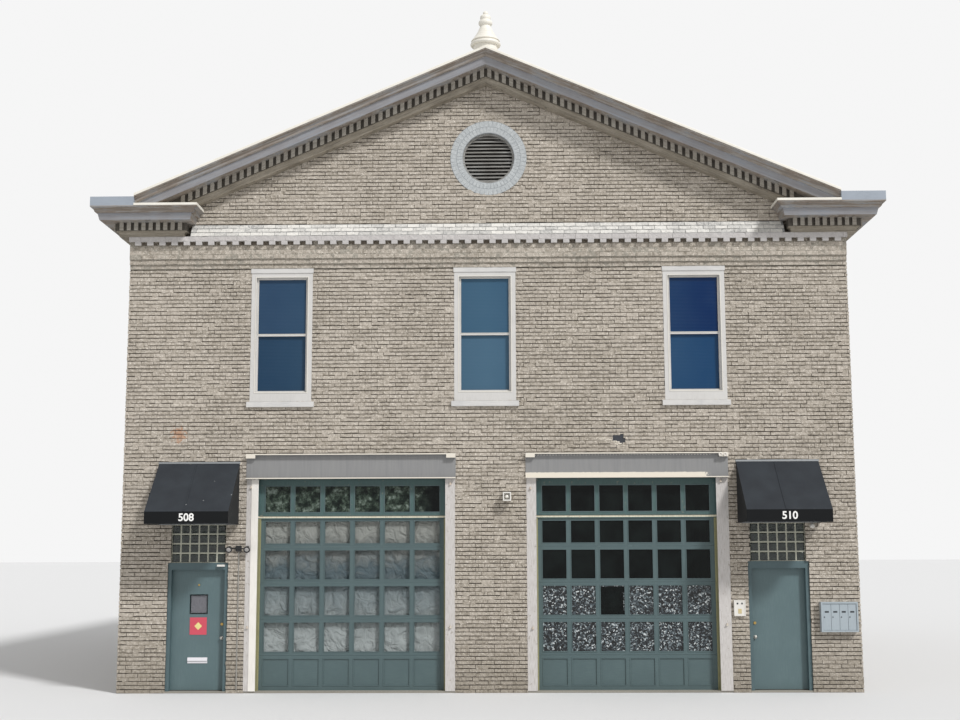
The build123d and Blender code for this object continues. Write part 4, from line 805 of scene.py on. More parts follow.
# Garage glass before a dark hall: nearly black as painted shade of the hall, with painted green reflections in the
# left transom, and clear enough to show what hangs behind it.
GARAGE_GLASS = HallGlass("clear_garage_glass", ((0.36, "#0E1412"), (0.46, "#212B25"), (0.56, "#434F45"),
                                                (0.66, "#7E8A82")))
# Pressed blocks: dark green glass with wavy painted highlights.
BLOCK_GLASS = MouldedGlass("pressed_block_glass", ((0.25, "#0D1212"), (0.5, "#1B2422"), (0.75, "#414B40")))
# Solution-dyed canvas: charcoal, with painted shade that makes it near black where it doesn't face up.
AWNING_CANVAS = WovenCanvas("charcoal_awning_canvas", ((0.25, "#272A2F"), (0.5, "#2D3136"), (0.8, "#353A3F")))
# Printed vinyl film stuck inside the panes: black and white flecks.
SPECKLED_FILM = PrintedFilm("speckled_privacy_film")
# Cotton dust sheet: pale, with a blue-grey band across its middle.
CURTAIN_COTTON = Drapery("cotton_dust_sheet", ((0.25, "#DCE3E2"), (0.48, "#C0C9C9"), (0.66, "#9CA9AC"),
                                               (0.78, "#6E8087"), (0.92, "#A9ADA9"), (1.0, "#BDC0BA")))
# Painted steel, satin steel and brass: the small bright things on the doors.
DOOR_FURNITURE = DoorMetal("door_furniture_metals")
# Mineral felt: mid grey, gritty and stained.
ROOF_FELT = RollFelt("mineral_roll_felt", ((0.0, "#4F5152"), (0.5, "#696B6A"), (1.0, "#85857F")))
# Power-floated slab: flat grey with darker tyre dirt.
SLAB = RollFelt("floated_concrete_slab", ((0.0, "#77736B"), (0.5, "#8F8B82"), (1.0, "#A5A197")))

NODE_FINISHES: dict[Finish, tuple[str, ...]] = {
    SLAB: ("ground_floor",), DECK: ("second_floor",),
    TAUPE_JOINTS: ("front_piers", "front_wall_over_doors", "front_wall_upper", "front_gable", "rear_wall",
                   "left_wall", "right_wall"),
    ROOF_FELT: ("roof_left_slope", "roof_right_slope"), CAP_PAINT: ("ridge_cap", "return_caps", "rake_caps", "finial"),
    TAUPE_FRIEZE: ("corbel_table",), WHITE_JOINTS: ("frieze_wash",), EAVES_WOOD: ("eaves_cornices",),
    EAVES_BED: ("bed_mouldings",), EAVES_DENTILS: ("dentil_courses",), GUTTER_PAINT: ("box_gutters",),
    RAKE_WOOD: ("rake_crowns",), RAKE_BED: ("rake_bed_mouldings",), RAKE_DENTILS: ("rake_dentils",),
    RING_JOINTS: ("vent_ring",), SLAT_WOOD: ("vent_louvre",), CASING_PAINT: ("window_frames",),
    WINDOW_GLASS: ("window_glass",), STONE_PAINT: ("window_sills", "window_lintels"),
    JAMB_PAINT: ("garage_frames",), GARAGE_PAINT: ("left_garage_door", "right_garage_door"),
    GARAGE_GLASS: ("garage_panes",), LINTEL_PAINT: ("garage_lintels",), FRAME_PAINT: ("entrance_frames",),
    DOOR_PAINT: ("left_door_leaf", "right_door_leaf"), DOOR_GLASS: ("left_door_lite",),
    DOOR_FURNITURE: ("left_door_fittings", "right_door_fittings"), BLOCK_MORTAR: ("glass_block_panels",),
    AWNING_CANVAS: ("left_awning_canvas", "right_awning_canvas"), AWNING_PIPE: ("awning_frames",),
    GREY_ENAMEL: ("mailboxes",), WHITE_ABS: ("intercom", "wall_lamp", "entrance_lamps"),
    BLACK_CAST: ("flood_lamp",), CONDUIT_PAINT: ("conduit",), RUSTED_IRON: ("gate_pintles",),
}


class Side(Enum):
    """The four walls: the turn from the front in degrees, the face's distance and half its length."""

    FRONT = (0, HALF_DEEP, HALF_WIDE)
    RIGHT = (90, HALF_WIDE, HALF_DEEP)
    REAR = (180, HALF_DEEP, HALF_WIDE)
    LEFT = (270, HALF_WIDE, HALF_DEEP)

    def stand(self, along: float, up: float) -> Matrix:
        """Place something modelled at the origin, facing -Y, on this wall's face.

        Args:
            along: the distance from the wall's middle, to the right as one faces it.
            up: the height over the ground.

        Returns:
            The matrix that carries it there.
        """
        turn, distance, _ = self.value
        return Matrix.Rotation(math.radians(turn), 4, "Z") @ Matrix.Translation((along, -distance, up))


def only(*pieces: Piece) -> None:
    """Select some objects, the first of them active, or none."""
    bpy.ops.object.select_all(action="DESELECT")
    for piece in pieces:
        piece.select_set(True)
    if pieces:
        bpy.context.view_layer.objects.active = pieces[0]


def settle(piece: Piece) -> Piece:
    """Apply an object's place, turn and scale to its mesh, and give it back."""
    only(piece)
    bpy.ops.object.transform_apply(location=True, rotation=True, scale=True)
    return piece


def added(name: str, operator: Callable[..., object], **settings: object) -> Piece:
    """Add an object with one of Blender's own operators.

    Args:
        name: the object's name.
        operator: the operator.
        settings: what it is called with.

    Returns:
        The new object, not yet settled.
    """
    only()
    operator(**settings)
    piece = bpy.context.active_object
    piece.name = name
    return piece


def block(name: str, low: Point, high: Point) -> Piece:
    """Start a piece from a cube with its place in its mesh.

    Args:
        name: the piece's name.
        low: its lowest corner.
        high: its highest corner.

    Returns:
        The new object, at the origin.
    """
    middle = [(first + last) / 2 for first, last in zip(low, high)]
    size = [last - first for first, last in zip(low, high)]
    return settle(added(name, bpy.ops.mesh.primitive_cube_add, size=1.0, location=middle, scale=size))


@contextmanager
def edited(piece: Piece, test: Callable[[Vector, Vector], bool] = lambda centre, normal: True) -> Iterator[None]:
    """Work in edit mode with some of a piece's faces selected.

    Args:
        piece: the object.
        test: says from a face's centre and normal whether it is chosen.

    Yields:
        Nothing, in edit mode.
    """
    only(piece)
    bpy.ops.object.mode_set(mode="EDIT")
    bpy.ops.mesh.select_mode(type="FACE")
    bpy.ops.mesh.select_all(action="DESELECT")
    bpy.ops.object.mode_set(mode="OBJECT")
    for face in piece.data.polygons:
        face.select = test(face.center, face.normal)
    bpy.ops.object.mode_set(mode="EDIT")
    yield
    bpy.ops.object.mode_set(mode="OBJECT")


def finished(piece: Piece, kind: str, **settings: object) -> Piece:
    """Apply a modifier to a piece.

    Args:
        piece: the object.
        kind: the modifier's type.
        settings: the modifier's properties.

    Returns:
        The same object.
    """
    only(piece)
    modifier = piece.modifiers.new(kind.lower(), kind)
    for key, value in settings.items():
        setattr(modifier, key, value)
    bpy.ops.object.modifier_apply(modifier=modifier.name)
    return piece


def soften(piece: Piece, width: float, segments: int = 2) -> Piece:
    """Ease a piece's edges with a bevel of a width and a number of steps, and give it back."""
    return finished(piece, "BEVEL", width=width, segments=segments)


def pierce(piece: Piece, axis: int, band: float) -> Piece:
    """Open a block right through, so that only a band is left round the opening.

    Args:
        piece: the block.
        axis: the axis along which it is opened, 1 for Y or 2 for Z.
        band: the width of the band.

    Returns:
        The same object.
    """
    with edited(piece, lambda centre, normal: abs(normal[axis]) > 0.9):
        bpy.ops.mesh.inset(thickness=band)
        bpy.ops.mesh.bridge_edge_loops()
        bpy.ops.mesh.select_all(action="SELECT")
        bpy.ops.mesh.normals_make_consistent(inside=False)
    return piece


def hoop(outer: tuple[float, float, float, float], band: float, depth: tuple[float, float]) -> Piece:
    """Model a flat rectangular ring that stands upright.

    Args:
        outer: its left, foot, right and head.
        band: the width of the ring's band.
        depth: its front and back on Y.

    Returns:
        The ring.
    """
    left, foot, right, head = outer
    return soften(pierce(block("hoop", (left, depth[0], foot), (right, depth[1], head)), 1, band), 0.0015, 1)


def bent_grid(name: str, steps: tuple[int, int], place: Callable[[float, float], Point]) -> Piece:
    """Bend a grid into a cloth or a part of one.

    Args:
        name: the part's name.
        steps: the grid's divisions both ways.
        place: gives a point's place from its two shares of the grid.

    Returns:
        The bent grid.
    """
    piece = added(name, bpy.ops.mesh.primitive_grid_add, x_subdivisions=steps[0], y_subdivisions=steps[1], size=1.0)
    for vertex in piece.data.vertices:
        vertex.co = place(vertex.co.x + 0.5, vertex.co.y + 0.5)
    return piece


def ball(name: str, facets: tuple[int, int], radius: float, place: Point = (0.0, 0.0, 0.0), tilt: float = 0.0,
         squash: Point = (1.0, 1.0, 1.0)) -> Piece:
    """Model a smooth ball, squashed along its own axes.

    Args:
        name: the piece's name.
        facets: its facets round and up.
        radius: its radius.
        place: its middle.
        tilt: its turn about X.
        squash: its scale along its own axes.

    Returns:
        The ball.
    """
    piece = added(name, bpy.ops.mesh.primitive_uv_sphere_add, segments=facets[0], ring_count=facets[1],
                  radius=radius, location=place, rotation=(tilt, 0, 0))
    piece.scale = squash
    settle(piece)
    bpy.ops.object.shade_smooth()
    return piece


def join(name: str, pieces: list[Piece]) -> Piece:
    """Join finished objects into one, which is named and given back."""
    only(*pieces)
    bpy.ops.object.join()
    pieces[0].name = name
    return pieces[0]


def read(items: object, key: str, kind: type, wide: int = 1) -> np.ndarray:
    """Read one value, or several, of every item of a mesh.

    Args:
        items: the mesh's points, corners or faces.
        key: what is read.
        kind: the values' type.
        wide: how many values each item has.

    Returns:
        The values in one row.
    """
    values = np.empty(len(items) * wide, dtype=kind)
    items.foreach_get(key, values)
    return values


def joined(name: str, template: Piece, points: np.ndarray, tones: np.ndarray) -> Piece:
    """Build one mesh from the faces of a model and the points of each of its copies.

    Args:
        name: the piece's name.
        template: the model, which is taken away.
        points: the copies' points, copy by copy.
        tones: a shade for each copy, kept as the attribute "tone", or nothing.

    Returns:
        The joined piece.
    """
    model = template.data
    count, per_copy, _ = points.shape
    corners = read(model.loops, "vertex_index", np.int32)
    starts = read(model.polygons, "loop_start", np.int32)
    steps = np.arange(count)[:, None]
    mesh = bpy.data.meshes.new(name)
    for items, key, values, wide in (
            (mesh.vertices, "co", points, 3),
            (mesh.loops, "vertex_index", corners + steps * per_copy, 1),
            (mesh.polygons, "loop_start", starts + steps * len(corners), 1)):
        items.add(values.size // wide)
        items.foreach_set(key, values.ravel())
    mesh.polygons.foreach_set("use_smooth", np.tile(read(model.polygons, "use_smooth", bool), count))
    mesh.update(calc_edges=True)
    if tones.size:
        layer = mesh.attributes.new("tone", "FLOAT", "POINT")
        layer.data.foreach_set("value", np.repeat(tones, per_copy).astype(np.float32))
    piece = bpy.data.objects.new(name, mesh)
    bpy.context.scene.collection.objects.link(piece)
    bpy.data.objects.remove(template)
    return piece


def copies(name: str, template: Piece, places: Iterable[Matrix], tones: Iterable[float] = ()) -> Piece:
    """Join many copies of one model into one piece.

    Args:
        name: the piece's name.
        template: the model, which is taken away.
        places: where each copy goes.
        tones: a shade for each copy, from 0 to 1.

    Returns:
        The joined piece.
    """
    points = read(template.data.vertices, "co", float, 3).reshape(-1, 3)
    matrices = np.array([[list(row) for row in place] for place in places])
    moved = np.einsum("kij,nj->kni", matrices[:, :3, :], np.c_[points, np.ones(len(points))])
    return joined(name, template, moved, np.array(list(tones)))


def dress(piece: Piece, finish: Finish, body: str = HOUSE) -> Piece:
    """Give a new piece its finish and its body, and report it.

    Args:
        piece: the object.
        finish: what it is made of.
        body: the body that it rides on.

    Returns:
        The same object.
    """
    piece.data.materials.clear()
    piece.data.materials.append(finish.material())
    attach(piece, body)
    LOG.info("%s: %d faces, %s", piece.name, len(piece.data.polygons), finish.name)
    return piece


class Patch(NamedTuple):
    """An upright rectangle on a wall's face, in metres from the wall's middle and the ground."""

    left: float
    foot: float
    right: float
    head: float

    def without(self, hole: "Patch") -> "list[Patch]":
        """Cut a hole out of the rectangle.

        Args:
            hole: the rectangle that is cut away.

        Returns:
            The rectangles that are left, without slivers.
        """
        if hole.right <= self.left or hole.left >= self.right or hole.head <= self.foot or hole.foot >= self.head:
            return [self]
        left, right = max(self.left, hole.left), min(self.right, hole.right)
        parts = (Patch(self.left, self.foot, left, self.head), Patch(right, self.foot, self.right, self.head),
                 Patch(left, self.foot, right, hole.foot), Patch(left, hole.head, right, self.head))
        return [part for part in parts if min(part.right - part.left, part.head - part.foot) > SLIVER]


@dataclass
class Masonry:
    """The brick faces of the four walls, the frieze and the ring, in common bond with header courses."""

    course: float = FRIEZE_FOOT / 108
    stretcher: float = 0.213
    header: float = 0.1065
    joint: float = 0.013
    upright_joint: float = 0.005
    closed_uprights: float = 0.5
    closed_beds: float = 0.15
    relief: float = 0.010
    unevenness: float = 0.0027
    bond: int = 7
    # The hole over the right garage door, and the smaller rectangles that it is cut as, in shares of its size.
    broken: tuple[float, float] = (2.28, 4.28)
    broken_size: tuple[float, float] = (0.21, 0.15)
    broken_parts: tuple[Patch, ...] = (Patch(-0.5, -0.2, 0.1, 0.5), Patch(-0.25, -0.5, 0.3, 0.3),
                                       Patch(0.0, -0.35, 0.5, 0.15), Patch(0.1, 0.1, 0.38, 0.62))
    fragments: int = 22
    ring_bricks: int = 52
    wash_rows: int = 3
    # The frieze's steps: how far each stands out, its foot, its head and its courses.
    frieze_steps: tuple[tuple[float, float, float, int], ...] = (
        (0.030, FRIEZE_FOOT, FRIEZE_FOOT + 0.078, 1), (0.058, FRIEZE_FOOT + 0.078, 7.497, 1),
        (0.085, 7.497, 7.740, 3), (0.150, 7.803, EAVES_FOOT, 1))
    tooth: float = 0.108
    first_tooth: float = 0.104
    tooth_row: tuple[float, float] = (7.743, 7.801)
    tooth_gaps: int = 57
    draw: np.random.Generator = field(default_factory=lambda: np.random.default_rng(7))

    def brick(self, cuts: int = 0) -> Piece:
        """Model one brick's face as a unit block whose front is drawn in, as brick edges are worn.

        Args:
            cuts: how many times its length is cut, which lets its long edges run unevenly.

        Returns:
            The brick's face.
        """
        piece = block("brick", (-0.5, -0.5, -0.5), (0.5, 0.5, 0.5))
        with edited(piece, lambda centre, normal: normal.y < -0.9):
            bpy.ops.transform.resize(value=(0.975, 1.0, 0.91))
            for number in range(cuts):
                bpy.ops.mesh.select_all(action="SELECT")
                bpy.ops.mesh.bisect(plane_co=((number + 1) / (cuts + 1) - 0.5, 0, 0), plane_no=(1.0, 0.0, 0.0))
        return piece

    def holes(self, side: Side) -> list[Patch]:
        """List what is cut out of one wall's brickwork.

        Args:
            side: the wall.

        Returns:
            The openings, with the frieze and the broken place on the front.
        """
        half = WINDOW_WIDE / 2
        found = [Patch(along - half, sill, along + half, sill + WINDOW_HIGH) for along, sill in window_places(side)]
        if side is not Side.FRONT:
            return found
        found += [Patch(left, 0.0, right, LINTEL_HEAD - 0.01) for left, right in GARAGE_ROUGH]
        found += [Patch(along - wide / 2, foot, along + wide / 2, head) for along in ENTRANCES
                  for wide, foot, head in ((ENTRANCE_WIDE, 0.0, BLOCK_FOOT), (BLOCK_WIDE, BLOCK_FOOT, ENTRANCE_HEAD))]
        (x, z), (wide, high) = self.broken, self.broken_size
        found += [Patch(x + part.left * wide, z + part.foot * high, x + part.right * wide, z + part.head * high)
                  for part in self.broken_parts]
        return found + [Patch(-HALF_WIDE - 1, FRIEZE_FOOT, HALF_WIDE + 1, GABLE_FOOT)]

    def rows(self, side: Side) -> Iterator[tuple[float, float, float, float, bool]]:
        """Run up the courses of one wall.

        Args:
            side: the wall.

        Yields:
            Each course's foot, head, half length, start and whether it is one of headers.
        """
        _, _, half = side.value
        gabled = side in (Side.FRONT, Side.REAR)
        top = GABLE_TOP if gabled else EAVES_FOOT
        for row in range(int(top / self.course)):
            foot = row * self.course
            head = foot + self.course - self.joint
            reach = half + self.relief if gabled else half
            if gabled and head > EAVES_FOOT:
                reach = min(reach, (GABLE_TOP - head) / PITCH)
            headers = row % self.bond == 3
            yield foot, head, reach, (row % 2) * (self.header if not headers else self.header / 2), headers

    def lay_wall(self, side: Side) -> Piece:
        """Lay one wall's bricks, from left to right, with joints that stand over each other.

        Args:
            side: the wall.

        Returns:
            The joined bricks.
        """
        holes = self.holes(side)
        far = side.value[2] + self.relief
        bricks: list[Patch] = []
        for foot, head, reach, start, headers in self.rows(side):
            pitch = self.header if headers else self.stretcher
            near = [hole for hole in holes if hole.foot < head and hole.head > foot]
            over = (foot + head) / 2 - VENT[1]
            if side is Side.FRONT and abs(over) < VENT_OUTER - 0.02:
                half = math.sqrt((VENT_OUTER - 0.02) ** 2 - over ** 2)
                near.append(Patch(VENT[0] - half, foot - 1, VENT[0] + half, head + 1))
            first = -math.ceil(far / pitch) * pitch
            for number in range(int(-2 * first / pitch) + 3):
                gap = self.upright_joint if self.draw.random() > self.closed_uprights else 0.0
                drop = self.joint - 0.001 if self.draw.random() < self.closed_beds and foot > 0.0 else 0.0
                left = max(-far, -reach, first + number * pitch - start)
                right = min(first + (number + 1) * pitch - start - gap, reach)
                if right - left < 0.02:
                    continue
                parts = [Patch(left, foot - drop, right, head)]
                for hole in near:
                    parts = [left_over for part in parts for left_over in part.without(hole)]
                bricks += parts
        return self.set_bricks(f"bricks_{side.name.lower()}", side, bricks, 0.0, self.relief)

    def set_bricks(self, name: str, side: Side, bricks: list[Patch], proud: float, relief: float) -> Piece:
        """Set bricks on a wall's face, each a little uneven.

        Args:
            name: the piece's name.
            side: the wall.
            bricks: the bricks' faces.
            proud: how far the face stands before the wall.
            relief: how far the bricks stand out of their joints.

        Returns:
            The joined bricks.
        """
        turn, distance, _ = side.value
        model = self.brick(2 if side is Side.FRONT else 0)
        points = read(model.data.vertices, "co", float, 3).reshape(-1, 3)
        left, foot, right, head = np.array(bricks).T
        middles = np.c_[(left + right) / 2, np.full(len(bricks), -distance - proud - relief / 2 + 0.001),
                        (foot + head) / 2]
        sizes = np.c_[right - left, np.full(len(bricks), relief + 0.002), head - foot]
        moved = points[None] * sizes[:, None] + middles[:, None]
        most = 2 * self.unevenness
        uneven = self.draw.normal(0.0, self.unevenness, moved.shape).clip(-most, most)
        uneven += self.draw.normal(0.0, 0.7 * self.unevenness, (len(bricks), 1, 3)).clip(-0.004, 0.004)
        moved += uneven * np.where(points[:, 1] < 0, 1.0, 0.0)[None, :, None]
        spin = np.array(Matrix.Rotation(math.radians(turn), 3, "Z"))
        return joined(name, model, moved @ spin.T, self.draw.random(len(bricks)))

    def fill(self, area: Patch, courses: int, inset: float, bed: float) -> list[Patch]:
        """Fill an area with courses of stretchers, each half a brick off the last.

        Args:
            area: the area.
            courses: how many courses it has.
            inset: what is left free at both ends.
            bed: the joint under each course.

        Returns:
            The bricks' faces.
        """
        high = (area.head - area.foot) / courses
        bricks = []
        for row in range(courses):
            foot, start = area.foot + row * high, area.left - (row % 2) * self.header
            for number in range(int((area.right - area.left) / self.stretcher) + 2):
                left = max(area.left + inset, start + number * self.stretcher)
                right = min(start + (number + 1) * self.stretcher - 0.006, area.right - inset)
                if right - left > 0.03:
                    bricks.append(Patch(left, foot + bed, right, foot + high - 0.004))
        return bricks

    def lay_frieze(self) -> Piece:
        """Lay the frieze's courses on the faces of its steps.

        Returns:
            The joined bricks.
        """
        pieces = []
        for proud, foot, head, courses in self.frieze_steps:
            bricks = self.fill(Patch(-HALF_WIDE, foot, HALF_WIDE, head), courses, 0.0, 0.004)
            pieces.append(self.set_bricks("course", Side.FRONT, bricks, proud, 0.003))
        return join("bricks_frieze", pieces)

    def lay_wash(self) -> Piece:
        """Lay rows of bricks on the slope between the cornice returns.

        Returns:
            The joined bricks.
        """
        low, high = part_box("frieze_wash")
        bricks = self.fill(Patch(low.x, low.z, high.x, high.z), self.wash_rows, 0.004, 0.006)
        piece = self.set_bricks("bricks_wash", Side.FRONT, bricks, 0.0, 0.009)
        lean = (FRONT - low.y) / (high.z - low.z)
        for vertex in piece.data.vertices:
            vertex.co.y -= (high.z - vertex.co.z) * lean
        return piece

    def lay_headers(self) -> Piece:
        """Set headers, dark with painted shade, back between the brick dentils, and give them back joined."""
        first = -HALF_WIDE + self.first_tooth + self.tooth
        foot, head = self.tooth_row
        bricks = [Patch(first + number * 2 * self.tooth + 0.003, foot, first + (number * 2 + 1) * self.tooth - 0.003,
                        head) for number in range(self.tooth_gaps)]
        return self.set_bricks("headers_between_dentils", Side.FRONT, bricks, 0.085, 0.003)

    def lay_ring(self) -> Piece:
        """Lay two rings of bricks on edge round the vent.

        Returns:
            The joined bricks.
        """
        model = self.brick()
        middle = Matrix.Translation((VENT[0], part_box("vent_ring")[0].y + 0.001, VENT[1]))
        band = (VENT_OUTER - VENT_INNER) / 2
        places = []
        for ring in range(2):
            radius = VENT_INNER + band * (ring + 0.5)
            wide = 2 * math.pi * radius / self.ring_bricks - 0.006
            size = Matrix.Diagonal((wide, 0.006, band - 0.006, 1.0))
            for number in range(self.ring_bricks):
                turn = Matrix.Rotation(2 * math.pi * (number + 0.5 * ring) / self.ring_bricks, 4, "Y")
                places.append(middle @ turn @ Matrix.Translation((0, 0, radius)) @ size)
        return copies("bricks_vent_ring", model, places, [self.draw.random() for _ in places])

    def break_bricks(self) -> Piece:
        """Model the broken brick ends that stick out under the hole over the right garage door.

        Returns:
            The joined fragments.
        """
        x, z = self.broken
        pieces = []
        for number in range(self.fragments):
            share = number / (self.fragments - 1)
            half, high = self.draw.uniform(0.025, 0.075) / 2, self.draw.uniform(0.012, 0.03)
            along = x - 0.40 + 0.46 * share
            up = z + 0.03 - 0.13 * share + self.draw.uniform(-0.028, 0.028)
            piece = block("fragment", (along - half, FRONT - 0.016, up), (along + half, FRONT + 0.002, up + high))
            with edited(piece, lambda centre, normal: normal.y < -0.9):
                bpy.ops.transform.resize(value=(0.7, 1.0, 0.5))
                bpy.ops.transform.rotate(value=self.draw.uniform(-0.6, 0.6), orient_axis="Y",
                                         center_override=(along, FRONT, up))
            pieces.append(soften(piece, 0.002, 1))
        return join("broken_brick_ends", pieces)

    def build(self) -> None:
        """Lay every brick face and dress it."""
        for side in Side:
            dress(self.lay_wall(side), TAUPE_BRICK)
        dress(self.lay_frieze(), TAUPE_BRICK)
        dress(self.lay_wash(), WHITE_BRICK)
        dress(self.lay_headers(), GAP_SHADE_BRICK)
        dress(self.lay_ring(), RING_BRICK)
        dress(self.break_bricks(), BROKEN_BRICK)


def window_places(side: Side) -> list[tuple[float, float]]:
    """List one wall's windows.

    Args:
        side: the wall.

    Returns:
        Each window's distance from the wall's middle and the height of its sill.
    """
    if side is Side.FRONT:
        return [(along, UPPER_SILL) for along in FRONT_WINDOWS]
    row = [-along for along in FRONT_WINDOWS] if side is Side.REAR else SIDE_WINDOWS
    return [(along, sill) for along in row for sill in (LOWER_SILL, UPPER_SILL)]


@dataclass
class Windows:
    """What is fixed to the 25 double-hung windows: cream beads round the casings' openings and putty."""

    bead: float = 0.014
    putty: float = 0.010
    lower_sash: Patch = Patch(-0.430, 0.180, 0.430, 1.170)
    upper_sash: Patch = Patch(-0.430, 1.190, 0.430, 2.180)

    def build(self) -> None:
        """Model each bead once and copy it to every window."""
        places = [side.stand(*place) for side in Side for place in window_places(side)]
        around = Patch(-SIGHT_HALF - self.bead, SIGHT_FOOT - self.bead, SIGHT_HALF + self.bead, SIGHT_HEAD + self.bead)
        for name, outer, band, depth in (
                ("window_beads", around, self.bead, (-CASING_PROUD - 0.006, -CASING_PROUD + 0.001)),
                ("lower_sash_putty", self.lower_sash, self.putty, (0.072, 0.083)),
                ("upper_sash_putty", self.upper_sash, self.putty, (0.039, 0.049))):
            dress(copies(name, hoop(outer, band, depth), places), BEAD_PAINT)


@dataclass
class GarageDoors:
    """The glazing beads, panel mouldings, film and curtain of the two sectional doors."""

    bead: float = 0.016
    proud: float = 0.006
    film_depth: float = 0.018
    worn_pane: tuple[int, int] = (1, 2)
    curtain_depth: float = 0.067
    curtain_head: float = SECTION_ROWS[-1][1] + 0.03
    curtain_foot: float = 0.62
    # Each set of creases: its share, its waves across and down, the power of the way down, and its start.
    creases: tuple[tuple[float, float, float, int, float], ...] = (
        (1.0, 2.3, 1.1, 1, 0.0), (0.7, 4.1, -2.6, 1, 1.0), (0.5, 1.2, 5.3, 2, 2.0))
    bright_wide: float = 0.122
    seal: float = 0.008
    seal_depth: tuple[float, float] = (-9.120, -9.024)

    def columns(self, door: int) -> list[tuple[float, float]]:
        """List a door's pane columns.

        Args:
            door: 0 for the left door, 1 for the right one.

        Returns:
            The left and right of each column.
        """
        lefts = [PANE_STARTS[door] + number * PANE_PITCH[door] for number in range(PANE_COLUMNS)]
        return [(left, left + PANE_WIDE[door]) for left in lefts]

    def beads(self) -> Piece:
        """Model a bead for each size of pane and copy it along its row.

        Returns:
            The joined beads.
        """
        rows = [(*row, DOOR_FACE) for row in (*SECTION_ROWS, FOOT_PANEL)] + [(*TRANSOM_PANES, TRANSOM_FACE)]
        pieces = []
        for door in (0, 1):
            left, right = self.columns(door)[0]
            steps = [Matrix.Translation((number * PANE_PITCH[door], 0, 0)) for number in range(PANE_COLUMNS)]
            for foot, head, face in rows:
                ring = hoop((left - self.bead, foot - self.bead, right + self.bead, head + self.bead), self.bead,
                            (face - self.proud, face + 0.001))
                pieces.append(copies("beads", ring, steps))
        return join("garage_glazing_beads", pieces)

    def film(self) -> Piece:
        """Model the film on the right door's two lower rows of panes, with one pane's film worn to its edges.

        Returns:
            The joined film.
        """
        back = DOOR_FACE + self.film_depth
        pieces = []
        for row, (foot, head) in enumerate(SECTION_ROWS[:2]):
            for number, (left, right) in enumerate(self.columns(1)):
                sheets = [Patch(left, foot, right, head)]
                if (row, number) == self.worn_pane:
                    sheets = [Patch(left, head - 0.02, right, head),
                              Patch(right - 0.02, foot + 0.06, right, head - 0.12)]
                pieces += [soften(block("film", (sheet.left, back, sheet.foot),
                                        (sheet.right, back + 0.001, sheet.head)), 0.0003, 1) for sheet in sheets]
        return join("speckled_film", pieces)

    def curtain(self) -> Piece:
        """Hang one flat dust sheet inside the left door, with slack creases across it.

        Returns:
            The sheet.
        """
        left, right = GARAGE_CLEAR[0]

        def place(across: float, up: float) -> Point:
            """Point on the sheet."""
            down = 1 - up
            slack = sum(share * math.sin(2 * math.pi * (waves * across + falls * down ** power) + start)
                        for share, waves, falls, power, start in self.creases)
            return (left + 0.01 + (right - left - 0.02) * across,
                    DOOR_FACE + self.curtain_depth + 0.009 * slack * math.sqrt(down),
                    self.curtain_head - (self.curtain_head - self.curtain_foot) * down)

        piece = finished(bent_grid("left_door_curtain", (120, 80), place), "SOLIDIFY", thickness=0.0012)
        bpy.ops.object.shade_smooth()
        return piece

    def rod(self) -> Piece:
        """Model the curtain's rod, between the two sides of the opening."""
        left, right = GARAGE_ROUGH[0]
        middle = ((left + right) / 2, DOOR_FACE + self.curtain_depth, self.curtain_head)
        return soften(settle(added("curtain_rod", bpy.ops.mesh.primitive_cylinder_add, vertices=16, radius=0.008,
                                   depth=right - left, location=middle, rotation=(0, math.pi / 2, 0))), 0.001, 1)

    def strip(self) -> Piece:
        """Model the bright board up the inner edge of the left garage frame's left jamb."""
        left, face = GARAGE_CLEAR[0][0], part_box("garage_frames")[0].y
        return soften(block("garage_jamb_board", (left - self.bright_wide, face - 0.008, 0.03),
                            (left, face + 0.002, GARAGE_HEAD - 0.002)), 0.003)

    def seals(self) -> Piece:
        """Model the olive rubber seals between the frames and the doors."""
        front, back = self.seal_depth
        return join("garage_door_seals", [
            soften(block("seal", (low, front, 0.03), (low + self.seal, back, TRANSOM_FOOT - 0.06)), 0.004)
            for left, right in GARAGE_CLEAR for low in (left, right - self.seal)])

    def build(self) -> None:
        """Build and dress the doors' pieces."""
        dress(self.beads(), GARAGE_PAINT)
        dress(self.film(), SPECKLED_FILM)
        dress(self.strip(), WHITE_STRIP)
        dress(self.seals(), OLIVE_STRIP)
        rod = dress(self.rod(), AWNING_PIPE)
        curtain = dress(self.curtain(), CURTAIN_COTTON)


@dataclass
class GarageHeads:
    """The rivets and the two eyes on the right channel over the garage."""

    rivet: float = 0.009
    pitch: float = 0.052
    eye: float = 0.026
    eye_places: tuple[float, float] = (4.010, 4.090)

    def rivets(self) -> Piece:
        """Model one domed rivet and copy it under the top flange.

        Returns:
            The joined rivets.
        """
        left, right = GARAGE_ROUGH[1]
        model = ball("rivet", (10, 6), self.rivet, squash=(1.0, 0.7, 1.0))
        places = [Matrix.Translation((left + 0.05 + number * self.pitch, FRONT - 0.020, LINTEL_HEAD - 0.034))
                  for number in range(int((right - left - 0.25) / self.pitch))]
        return copies("lintel_rivets", model, places)

    def eyes(self) -> Piece:
        """Model the two eye bolts at the right end of the channel.

        Returns:
            The joined eyes.
        """
        pieces = []
        for along in self.eye_places:
            ring = settle(added("eye", bpy.ops.mesh.primitive_torus_add, major_segments=20, minor_segments=8,
                                major_radius=self.eye, minor_radius=0.009, location=(along, FRONT - 0.098, 4.010),
                                rotation=(math.pi / 2, 0, 0)))
            bpy.ops.object.shade_smooth()
            shank = block("shank", (along - 0.008, FRONT - 0.094, 3.999), (along + 0.008, FRONT - 0.010, 4.019))
            pieces += [ring, soften(shank, 0.003)]
        return join("lintel_eyes", pieces)

    def build(self) -> None:
        """Build and dress the rivets and the eyes."""
        dress(self.rivets(), WHITE_STRIP)
        dress(self.eyes(), WHITE_STRIP)


